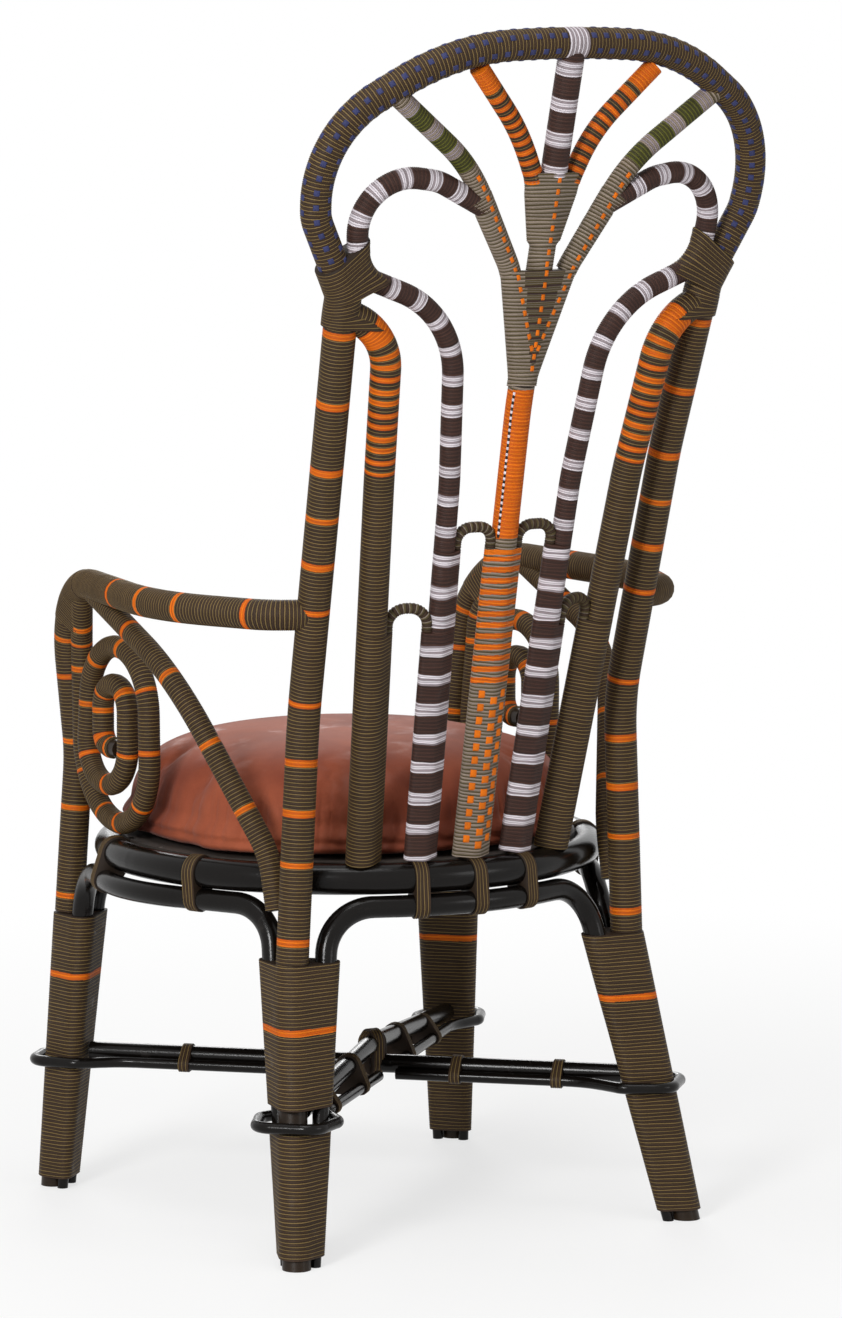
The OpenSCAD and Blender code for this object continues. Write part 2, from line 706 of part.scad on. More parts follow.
// One winding round a pole and the link tails beside it, between two heights
module bundle_wrap(route, r, dx, low, top, sides) difference() {
    a = at_height(route, low);
    b = at_height(route, top);
    z = unit(b - a);
    x = unit([sign(dx), 0, 0] - z * (z[0] * sign(dx)));
    multmatrix(placed(a, x, z)) linear_extrude(norm(b - a)) difference() {
        bundle_outline(r + wrap, link_r + wrap, abs(dx), sides);
        bundle_outline(r + fit, link_r + fit, abs(dx), sides);
    }
    below(pole_foot_h + fit);
    tie_room();
}

// Room beside a pole for a wound link hoop that leaves it
module link_room(route, dx) {
    a = at_height(route, inner_split - 12);
    z = unit(at_height(route, inner_link_h) - a);
    multmatrix(placed(a + [dx, 0, 0], across(z), z)) cylinder(r = link_r + wrap + fit, h = 44);
}

// Heights at which the windings leave the link hoops free
inner_split = inner_link_h - 24;
outer_split = outer_link_h - 27;

// Winding round a pole alone, above a height
module upper_wrap(route, r, from, z) {
    difference() {
        sleeve(route, r, from, route_length(route) - 20);
        below(z + fit);
    }
}

module stile_wraps() color("#4d4733") both_sides() {
    bundle_wrap(stile_route, stile_r, -to_stile, pole_start, outer_split, 1);
    difference() {
        upper_wrap(stile_route, stile_r, 2, outer_split);
        shoulder_mass(fit);
        at_post();
        tube(outer_link_route, link_r + wrap + fit);
    }
}

module hook_wraps() color("#4b3531") both_sides() {
    bundle_wrap(hook_route, hook_r, to_hook, pole_start, outer_split, 2);
    difference() {
        bundle_wrap(hook_route, hook_r, -to_hook, outer_split + fit, inner_split, 1);
        tube(outer_link_route, link_r + wrap + fit);
    }
    difference() {
        upper_wrap(hook_route, hook_r, 2, inner_split);
        tube(outer_frond_route, outer_frond_r + wrap + fit);
        tube(inner_link_route, link_r + wrap + fit);
        shoulder_mass(fit);
    }
}

module centre_wrap() color("#716b55") {
    bundle_wrap(centre_route, centre_r, to_centre, pole_start, inner_split, 2);
    difference() {
        upper_wrap(centre_route, centre_r, 2, inner_split);
        above(palm_h - fit);
        for (side = [-1, 1]) link_room(centre_route, side * to_centre);
    }
    difference() {
        upper_wrap(centre_route, centre_r, 2, palm_top + fit);
        at_crest();
        both_sides() {
            frond_shape(fit);
            tube(inner_frond_route, inner_frond_r + wrap + fit, from = frond_wrap_from - 1);
        }
    }
}

// Where a link hoop leaves its poles, its winding is open on their side
split_gap = 3;
module link_wraps() color("#4a3f2d") both_sides() {
    difference() {
        sleeve(inner_link_route, link_r, 300, route_length(inner_link_route) - 300);
        below(inner_split + split_gap);
        tube(centre_route, to_centre - link_r + joint_step);
        tube(hook_route, to_hook - link_r + joint_step);
    }
    difference() {
        sleeve(outer_link_route, link_r, 200, route_length(outer_link_route) - 200);
        below(outer_split + split_gap);
        tube(hook_route, to_hook - link_r + joint_step);
        tube(stile_route, to_stile - link_r + joint_step);
    }
}

frond_wrap_from = 22;
module frond_wraps() color("#6d6a50") both_sides() {
    difference() {
        sleeve(outer_frond_route, outer_frond_r, 60, route_length(outer_frond_route) - 2);
        below(palm_top + 3);
        at_crest();
    }
    difference() {
        sleeve(inner_frond_route, inner_frond_r, frond_wrap_from, route_length(inner_frond_route) - 2);
        at_crest();
    }
}

// Palm: the winding that gathers the outer fronds into the centre pole
palm_slack = 1.8;
module palm_hull(more, over) {
    hull() {
        for (z = [palm_h - over, palm_top + over])
            translate(at_height(centre_route, z)) disc(centre_r + palm_slack + more);
        both_sides() translate(at_height(outer_frond_route, palm_top + over))
            disc(outer_frond_r + palm_slack + more);
    }
}

module palm_lashing() color("#77735c") difference() {
    palm_hull(wrap, 0);
    palm_hull(0, 1);
}

// One winding round a leg and the two tails beside it, wider at the top, open where the loop passes
module leg_wrap(foot, tails) {
    difference() {
        union() {
            leg_hull(foot, tails, bare_foot, loop_h - loop_r - 1, wrap);
            leg_hull(foot, tails, loop_h + loop_r + 5, leg_wrap_h, wrap);
        }
        leg_hull(foot, tails, bare_foot - 1, leg_wrap_h + 1, 0);
    }
}

module leg_hull(foot, tails, low, top, more) {
    hull() for (z = [low, top]) {
        t = z / leg_wrap_h;
        translate(mix(foot[0], foot[1], t)) disc(foot[2] + wrap_slack + more);
        for (tail = tails) translate(mix(tail[0], tail[1], t))
            disc(mix(tail_r, arch_r, t) + wrap_slack + more);
    }
}

module disc(r) { cylinder(r = r, h = 0.3, $fn = 28); }

module leg_wraps_rear() color("#4a3f2d") both_sides()
    leg_wrap([spot(post_route[0]), rear_leg_top, post_r], rear_tails);

module leg_wraps_front() color("#4a3f2d") both_sides()
    leg_wrap([spot(arm_route[0]), front_leg_top, arm_r], front_tails);

// Lashings: wide bindings of cord, solid but for the poles that they hold

// Shoulder: binds the post's top, the hoop's end, the hook pole's bend and the top of the stile
lash_low = 38;
lash_high = 48;
lash_t = 3.3;
lash_r = post_r + wrap + lash_t;
hook_list = pieces(hook_route);
hook_bend = 5;
lash_reach = 200;   // length of each pole that is cut out of a lashing
module shoulder_mass(gap) {
    tube(post_route, lash_r + gap, from = post_span - lash_low - gap);
    tube(hoop_route, lash_r + gap, to = lash_high + gap);
    translate(spot(hoop_route[0])) sphere(lash_r + gap);
    tube(hook_route, hook_r + wrap + lash_t + gap, from = total(hook_list, hook_bend),
        to = total(hook_list, hook_bend + 1) + 20 + gap);
    tube(stile_route, stile_r + wrap + lash_t / 2 + gap, to = 34 + gap);
}

module shoulder_lashings() color("#453a29") both_sides() difference() {
    shoulder_mass(0);
    tube(run_through(post_route, run), post_r + fit, from = post_span - lash_reach);
    tube(run_through(hoop_route, run), hoop_r + fit, to = lash_reach);
    tube(hook_route, hook_r + fit, from = total(hook_list, hook_bend) - lash_reach / 2,
        to = total(hook_list, hook_bend + 1) + lash_reach / 2);
    tube(stile_route, stile_r + fit, to = lash_reach);
}

// Knuckle: binds the stem of the scroll and the top of the brace to the rail
module knuckle_lashings() color("#453a29") both_sides() difference() {
    list = pieces(arm_route);
    bend = list[3];
    stretch(bend, bend[0] - 78, bend[0] - 1) mirror([1, 0])
        pair_outline(arm_r + 2 * wrap + fit, scroll_r + wrap, 24);
    tube(arm_route, arm_r + wrap + fit, from = total(list, 3), to = total(list, 4) + lash_reach / 2);
    tube(scroll_route, scroll_r + wrap + fit, to = lash_reach);
    tube(brace_route, brace_r + wrap + fit, to = lash_reach);
}

// Bands of cord that hold the loop poles to the stretchers
band_places = [95, 215];
function drop_at(end, upper, l) = loop_drop
    + (upper == 0 ? 0 : (upper_mid - stretcher_h) * (1 - l / norm([end[0], end[1]])));
module band_outline(drop, grow) {
    for (k = [-1, 1]) rotate(atan2(-drop, k * loop_side))
        pair_outline(bar_r + grow, loop_r + grow, norm([drop, loop_side]));
    translate([-loop_side, -drop]) pair_outline(loop_r + grow, loop_r + grow, 2 * loop_side);
    polygon([[0, 0], [-loop_side, -drop], [loop_side, -drop]]);
}

module band(leg, end, upper, l) {
    u = along(leg);
    drop = drop_at(end, upper, l + tie_band_w / 2);
    multmatrix(placed(u * l + [0, 0, loop_h + drop], cross([0, 0, 1], u), u))
        linear_extrude(tie_band_w) difference() {
            band_outline(drop, wrap + upper);
            band_outline(drop, fit + upper);
        }
}

module stretcher_ties() color("#4d4433") for (l = band_places) {
    band(front_leg, front_bar_end, 0, l);
    band(flipped(front_leg), front_bar_end, 1, l);
    band(flipped(rear_leg), rear_bar_end, 0, l);
    band(rear_leg, rear_bar_end, 1, l);
}

// Crossing: two diagonal bindings over the upper stretcher and under the lower one
module crossing_lashing() color("#453a29") difference() {
    for (a = [0, 90]) rotate([0, 0, a]) translate([0, 8, stretcher_h]) rotate([90, -90, 0])
        linear_extrude(16) pair_outline(bar_r + 7, bar_r + 7, upper_mid - stretcher_h);
    tube(lower_route, bar_r + fit, from = 200, to = route_length(lower_route) - 200);
    tube(upper_route, bar_r + fit, from = 200, to = route_length(upper_route) - 200);
}

// Ties: turns of cord round the ring and the arch under it, wound as one unbroken tube. Each half turn
// has corners that stand just outside a circle, and both ends tuck in between the ring and the arch.
tie_w = tie_turns * (cord_d + tie_gap);
tuck_in = 8;
tuck_h = -ring_tube_r - 1;

// Distance from the ring's centre line out to the arch below it, at an angle round the ring
function bend_middle(a, b, c, r) = let (u = unit(a - b), v = unit(c - b))
    b + unit(u + v) * r / sin(acos(u * v) / 2);
function arch_middle(route) = bend_middle(spot(route[1]), spot(route[2]), spot(route[3]), route[2][3]);
function arch_of(angle) = angle > 45 && angle < 135 ? back_arch : angle > 225 && angle < 315 ? front_arch
    : angle > 90 && angle < 270 ? mirrored(side_arch) : side_arch;
function arch_shift(angle) =
    let (route = arch_of(angle), m = arch_middle(route), c = [m[0], m[1] + ring_y],
         d = [cos(angle), sin(angle)])
    d * c + sqrt(pow(route[2][3], 2) - c * c + pow(d * c, 2)) - ring_r;

// Corners of the tie as [across, along the ring, up], turned so that the arch lies straight below the ring
function tie_corners(shift) =
    let (r1 = (ring_tube_r + tie_gap + cord_d / 2) / tie_corner,
         r2 = (arch_r + 4 * tie_gap + cord_d / 2) / tie_corner,
         n = 2 * (tie_sides + 1), pitch = tie_w / tie_turns, side = -(r1 + r2) / 2,
         start = -tie_w / 2, end = tie_w / 2, lean = atan2(shift, ring_h - arch_h),
         below_ring = norm([shift, ring_h - arch_h]),
         list = concat(
        [[side + tuck_in, start, tuck_h], [side + 2, start, tuck_h], [side, start, tuck_h + 2]],
        [for (i = [0 : n * tie_turns - 1]) let (k = i % n, top = k <= tie_sides,
            a = 180 - (top ? k : k - 1) * 180 / tie_sides, r = top ? r1 : r2)
            [r * cos(a), (i + 0.5) * pitch / n + start, r * sin(a) - (top ? 0 : below_ring)]],
        [[side, end, tuck_h - 2], [side + 2, end, tuck_h], [side + tuck_in, end, tuck_h]]))
    [for (p = list) [p[0] * cos(lean) - p[2] * sin(lean), p[1], p[0] * sin(lean) + p[2] * cos(lean)]];

module tie(shift) {
    path = tie_corners(shift);
    n = len(path);
    function ring(i) =
        let (before = path[max(i - 1, 0)], after = path[min(i + 1, n - 1)], p = path[i],
             u = i == 0 ? unit(after - p) : i == n - 1 ? unit(p - before)
                 : unit(unit(p - before) + unit(after - p)),
             x = unit(cross([0, 1, 0], u)), y = cross(u, x),
             stretch = i == 0 || i == n - 1 ? 1 : 1 / sqrt((1 + unit(p - before) * unit(after - p)) / 2))
        [for (k = [0 : 5]) p + cord_d / 2 * (x * cos(k * 60 + 30) * stretch + y * sin(k * 60 + 30))];
    polyhedron(points = [for (i = [0 : n - 1]) each ring(i)],
        faces = concat([[for (k = [5 : -1 : 0]) k]], [[for (k = [0 : 5]) (n - 1) * 6 + k]],
            [for (i = [0 : n - 2], k = [0 : 5], h = [0, 1]) let (a = i * 6 + k, b = i * 6 + (k + 1) % 6)
                h == 0 ? [a, b + 6, a + 6] : [a, b, b + 6]]));
}

// Least gap between the turns of a tie, measured between its corners and the middles of its sides
function tie_least_gap(shift) =
    let (path = tie_corners(shift), turn_n = 2 * (tie_sides + 1),
         half = [for (i = [0 : len(path) - 2]) each [path[i], (path[i] + path[i + 1]) / 2]])
    min([for (i = [0 : len(half) - 1], j = [i + turn_n : 1 : len(half) - 1]) norm(half[i] - half[j])])
        - cord_d;
tie_shifts = [for (a = tie_angles) arch_shift(a < 0 ? a + 360 : a)];
echo(least_gap_between_turns_of_a_tie = min([for (shift = tie_shifts) tie_least_gap(shift)]));

module at_ties() for (a = tie_angles) translate([0, -ring_y, ring_h]) rotate([0, 0, a])
    translate([ring_r, 0, 0]) children();

// Room for the ties, cut out of what stands on the ring
module tie_room() at_ties() rotate([90, 0, 0])
    cylinder(r = ring_tube_r + tie_rise, h = tie_w + cord_d + 2 * fit, center = true);

module ring_ties() color("#4d4433") for (i = [0 : len(tie_angles) - 1]) translate([0, -ring_y, ring_h])
    rotate([0, 0, tie_angles[i]]) translate([ring_r, 0, 0]) tie(tie_shifts[i]);

about_middle() rear_post();  // rear_post_left
about_middle() mirror([1, 0, 0]) rear_post();  // rear_post_right
about_middle() arm_pole();  // arm_pole_left
about_middle() mirror([1, 0, 0]) arm_pole();  // arm_pole_right
about_middle() arm_scroll();  // arm_scroll_left
about_middle() mirror([1, 0, 0]) arm_scroll();  // arm_scroll_right
about_middle() arm_brace();  // arm_brace_left
about_middle() mirror([1, 0, 0]) arm_brace();  // arm_brace_right
about_middle() seat_ring();
about_middle() arch(back_arch, back_feet);  // apron_arch_back
about_middle() arch(front_arch, front_feet);  // apron_arch_front
about_middle() arch(side_arch, side_feet);  // apron_arch_left
about_middle() mirror([1, 0, 0])  // apron_arch_right
    arch(side_arch, side_feet);
about_middle() crest_hoop();
about_middle() back_stile();  // back_stile_left
about_middle() mirror([1, 0, 0]) back_stile();  // back_stile_right
about_middle() hook_pole();  // hook_pole_left
about_middle() mirror([1, 0, 0]) hook_pole();  // hook_pole_right
about_middle() centre_pole();
about_middle() inner_frond();  // inner_frond_left
about_middle() mirror([1, 0, 0]) inner_frond();  // inner_frond_right
about_middle() outer_frond();  // outer_frond_left
about_middle() mirror([1, 0, 0]) outer_frond();  // outer_frond_right
about_middle() inner_link();  // inner_link_left
about_middle() mirror([1, 0, 0]) inner_link();  // inner_link_right
about_middle() outer_link();  // outer_link_left
about_middle() mirror([1, 0, 0]) outer_link();  // outer_link_right
about_middle() stretcher(lower_route);  // stretcher_lower
about_middle() stretcher(upper_route);  // stretcher_upper
about_middle() stretcher_loop(front_loop);  // stretcher_loop_front_left
about_middle()  // stretcher_loop_front_right
    stretcher_loop(mirrored(front_loop));
about_middle() stretcher_loop(rear_loop);  // stretcher_loop_back_left
about_middle()  // stretcher_loop_back_right
    stretcher_loop(mirrored(rear_loop));
about_middle() seat_deck();
about_middle() seat_cushion();
about_middle() deck_screws();
about_middle() post_wrap();  // post_wrap_left
about_middle() mirror([1, 0, 0]) post_wrap();  // post_wrap_right
about_middle() arm_wrap();  // arm_wrap_left
about_middle() mirror([1, 0, 0]) arm_wrap();  // arm_wrap_right
about_middle() scroll_wrap();  // scroll_wrap_left
about_middle() mirror([1, 0, 0]) scroll_wrap();  // scroll_wrap_right
about_middle() brace_wraps();
about_middle() crest_wrap();
about_middle() crest_band();
about_middle() stile_wraps();
about_middle() hook_wraps();
about_middle() centre_wrap();
about_middle() frond_wraps();
about_middle() link_wraps();
about_middle() leg_wraps_front();
about_middle() leg_wraps_rear();
about_middle() ring_ties();
about_middle() shoulder_lashings();
about_middle() knuckle_lashings();
about_middle() stretcher_ties();
about_middle() crossing_lashing();
about_middle() palm_lashing();
about_middle() shoulder_dowels();
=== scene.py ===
import json
import math
import bpy
import bmesh
import numpy as np
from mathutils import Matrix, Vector


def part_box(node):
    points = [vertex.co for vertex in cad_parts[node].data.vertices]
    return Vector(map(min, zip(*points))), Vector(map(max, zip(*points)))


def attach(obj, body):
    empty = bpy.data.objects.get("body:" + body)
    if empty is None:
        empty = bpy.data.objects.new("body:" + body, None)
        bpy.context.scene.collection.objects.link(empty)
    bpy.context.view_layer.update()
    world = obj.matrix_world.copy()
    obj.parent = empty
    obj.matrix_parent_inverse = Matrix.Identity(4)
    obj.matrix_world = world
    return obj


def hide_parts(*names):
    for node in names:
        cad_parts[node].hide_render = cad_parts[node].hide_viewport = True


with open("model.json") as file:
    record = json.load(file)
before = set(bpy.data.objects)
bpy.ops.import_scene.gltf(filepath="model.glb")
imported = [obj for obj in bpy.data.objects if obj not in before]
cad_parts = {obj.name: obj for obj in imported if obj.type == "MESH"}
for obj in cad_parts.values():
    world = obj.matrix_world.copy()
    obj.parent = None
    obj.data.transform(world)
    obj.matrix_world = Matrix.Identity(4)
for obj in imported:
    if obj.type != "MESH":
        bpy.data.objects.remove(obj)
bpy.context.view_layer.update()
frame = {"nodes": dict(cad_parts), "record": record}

mm = 0.001
scene = bpy.context.scene

chair = {
    "middleY": 46.31,     # poles are set out about the feet in mm, then moved forward by this, as in the CAD
    "cord": 2.1,          # width of one cord
    "wrap": 2.4,          # how far a winding stands out from its pole
    "ribDepth": 0.6,      # depth of the groove between two cords
}
cord, wrap, ribDepth = chair["cord"], chair["wrap"], chair["ribDepth"]
middle = np.array([0, chair["middleY"], 0])


# Colours as they look on screen, 0 to 255
def tone(r, g, b):
    def linear(c):
        c = c / 255
        return c / 12.92 if c <= 0.04045 else ((c + 0.055) / 1.055) ** 2.4
    return (linear(r), linear(g), linear(b), 1.0)


cordTones = {
    "brown": tone(56, 40, 26),
    "olive": tone(112, 92, 54),
    "orange": tone(216, 108, 10),
    "rust": tone(192, 86, 8),
    "white": tone(216, 208, 214),
    "silver": tone(150, 138, 142),
    "plum": tone(64, 42, 35),
    "umber": tone(50, 33, 28),
    "grey": tone(142, 128, 114),
    "moss": tone(78, 67, 42),
    "green": tone(86, 86, 30),
    "fern": tone(56, 55, 22),
    "blue": tone(50, 54, 92),
    "night": tone(34, 30, 28),
}
shiny = ("orange", "rust", "plum", "umber", "blue")      # flat satin cords, with hardly a groove between them
toneNames = list(cordTones)
toneTable = np.array([cordTones[n] for n in toneNames])
pick = {n: i for i, n in enumerate(toneNames)}
toneTable[:, 3] = [0.35 if n in shiny else 1 for n in toneNames]      # how much painted shade darkens the grooves


# Routes: corners (x, y, z, bend radius) in mm, the same as the CAD's
def unit(v):
    v = np.asarray(v, float)
    return v / np.linalg.norm(v)


def mixed(a, b, t):
    return np.asarray(a[:3], float) + (np.asarray(b[:3], float) - np.asarray(a[:3], float)) * t


def atHeight(route, z):
    for a, b in zip(route, route[1:]):
        if (a[2] - z) * (b[2] - z) <= 0 and a[2] != b[2]:
            return mixed(a, b, (z - a[2]) / (b[2] - a[2]))
    a, b = route[-2], route[-1]
    return mixed(a, b, (z - a[2]) / (b[2] - a[2]))


def corner(p, bend=0):
    return (float(p[0]), float(p[1]), float(p[2]), bend)


def onHoop(u, z, bend=0):
    y = 335 + (z - 1083) * math.tan(math.radians(15.1)) + 30 * (234 ** 2 - u * u) / 282 ** 2
    return (u, y, z, bend)


# Middle line of the seat ring
ring = {"radius": 278, "y": -55, "z": 415}


# How far back the ring reaches at x, less a distance ahead of it
def ringBack(x, ahead):
    return math.sqrt(ring["radius"] ** 2 - x * x) + ring["y"] - ahead


post = [(258, 271, 0, 0), (224, 199, 278, 160), (209, 203, 600, 320), (220.5, 276.5, 889.8, 900),
        (234, 335, 1083, 0)]
armEnd = atHeight(post, 722)
arm = [(277, -272, 0, 0), (255, -243, 518, 300), (280, -235, 729, 108), (321, 66, 722, 300),
       (260, armEnd[1] - 21, 722, 60), corner(armEnd)]
brace = [(293, -132, 718, 0), (291, 55, 640, 190), (224, 153, 445, 130), (223, 168, 384, 0)]
scroll = [(289, -168, 720, 0), (270, -205, 652, 60), (260, -218, 449.6, 86), (268, -44, 449.6, 82),
          (270, -44, 655, 72), (270, -178.6, 655, 66), (272, -191.6, 493.6, 48), (273, -88, 493.6, 49),
          (273, -88, 611, 29), (273, -147.6, 611, 28), (273, -147.6, 537.6, 20), (273, -106.6, 537.6, 0)]
hoopHalf = [(234, 1083, 0), (276, 1163, 50), (286.5, 1254, 130), (141, 1344, 255)]
hoop = [onHoop(*c) for c in hoopHalf + [(0, 1350, 700)]] + [onHoop(-u, z, r) for u, z, r in hoopHalf[::-1]]
poleFoot = 422.8
centre = [(0, ringBack(0, 9), poleFoot, 0), (0, 316, 944, 500), onHoop(0, 1349)]
outerFrond = [corner(atHeight(centre, 975) + [2, 0, 0]), (33, 357, 1096, 150), (102, 381, 1217, 200),
              onHoop(207, 1297)]
hook = [corner(atHeight(outerFrond, 1170)), (138, 376, 1201, 54), (235, 366, 1215, 58), (219, 341, 1101, 33),
        (98, 343, 1055, 112), (79, 301, 867, 500), (62, ringBack(62, 8), poleFoot, 0)]
stile = [corner(atHeight(post, 1060)), (179, 337, 1040, 68), (162, 289, 871, 600),
         (127, ringBack(127, 5), poleFoot, 0)]
frondFoot = atHeight(centre, 1132) + [15.9, 0, 0]
frondBend = atHeight(centre, 1200) + [22.75, 0, 0]
frondJoin = mixed(frondFoot, frondBend, 0.78)
innerFrond = [corner(frondJoin), corner(frondBend, 60), (46.5, 393.5, 1253, 200), onHoop(112.3, 1323.3)]
linkFoot = 436.7


def linkCorners(a, da, b, db, top, bend):
    return [corner(atHeight(a, linkFoot) + [da, 0, 0]), corner(atHeight(a, top) + [da, 0, 0], bend),
            corner(atHeight(b, top) + [db, 0, 0], bend), corner(atHeight(b, linkFoot) + [db, 0, 0])]


toCentre, toHook, toStile = 17.2, 14.45, 19.85
innerLink = linkCorners(centre, toCentre, hook, -toHook, 815, 17)
outerLink = linkCorners(hook, toHook, stile, -toStile, 726, 20)


traceStep = 1.5      # mm between two points of a route


# Points along a route, with rounded corners, and how far along each one is
def trace(route):
    points = [np.array(route[0][:3], float)]
    for before, here, after in zip(route, route[1:], route[2:]):
        p = np.array(here[:3], float)
        u, v = unit(p - np.array(before[:3])), unit(np.array(after[:3]) - p)
        angle = math.acos(max(-1, min(1, float(u @ v))))
        if angle < 0.002:
            points.append(p)
            continue
        inward = unit(v - u * (u @ v))
        start = p - u * here[3] * math.tan(angle / 2)
        steps = max(3, int(here[3] * angle / traceStep))
        for k in range(steps + 1):
            a = angle * k / steps
            points.append(start + inward * here[3] * (1 - math.cos(a)) + u * here[3] * math.sin(a))
    points.append(np.array(route[-1][:3], float))
    points = np.array(points)
    far = np.r_[0, np.cumsum(np.linalg.norm(np.diff(points, axis=0), axis=1))]
    even = np.linspace(0, far[-1], max(3, int(far[-1] / traceStep)))
    return np.stack([np.interp(even, far, points[:, k]) for k in range(3)], 1), even


class Path:
    def __init__(self, route):
        self.points, self.far = trace(route)
        self.length = self.far[-1]

    def at(self, s):
        return np.stack([np.interp(s, self.far, self.points[:, k]) for k in range(3)], -1)

    def along(self, s):
        return unit(self.at(min(s + 1, self.length)) - self.at(max(s - 1, 0)))

    def whereHeight(self, z, last=False):
        hit = np.nonzero(np.diff(np.sign(self.points[:, 2] - z)))[0]
        i = hit[-1 if last else 0]
        t = (z - self.points[i, 2]) / (self.points[i + 1, 2] - self.points[i, 2])
        return self.far[i] + t * (self.far[i + 1] - self.far[i])


# Two directions across a pole that runs along t
def axesAcross(t):
    x = unit(np.array([1, 0, 0]) - t * t[0])
    return x, np.cross(t, x)


print("routes ready")


# Geometry Nodes: a tree that winds cord round the curve it is given
def addMath(tree, operation, *values):
    node = tree.nodes.new("ShaderNodeMath")
    node.operation = operation
    for socket, value in zip(node.inputs, values):
        if isinstance(value, (int, float)):
            socket.default_value = value
        else:
            tree.links.new(value, socket)
    return node.outputs[0]


def addVector(tree, operation, *values):
    node = tree.nodes.new("ShaderNodeVectorMath")
    node.operation = operation
    for value, socket in zip(values, [s for s in node.inputs if s.enabled]):
        tree.links.new(value, socket)
    return node.outputs[0]


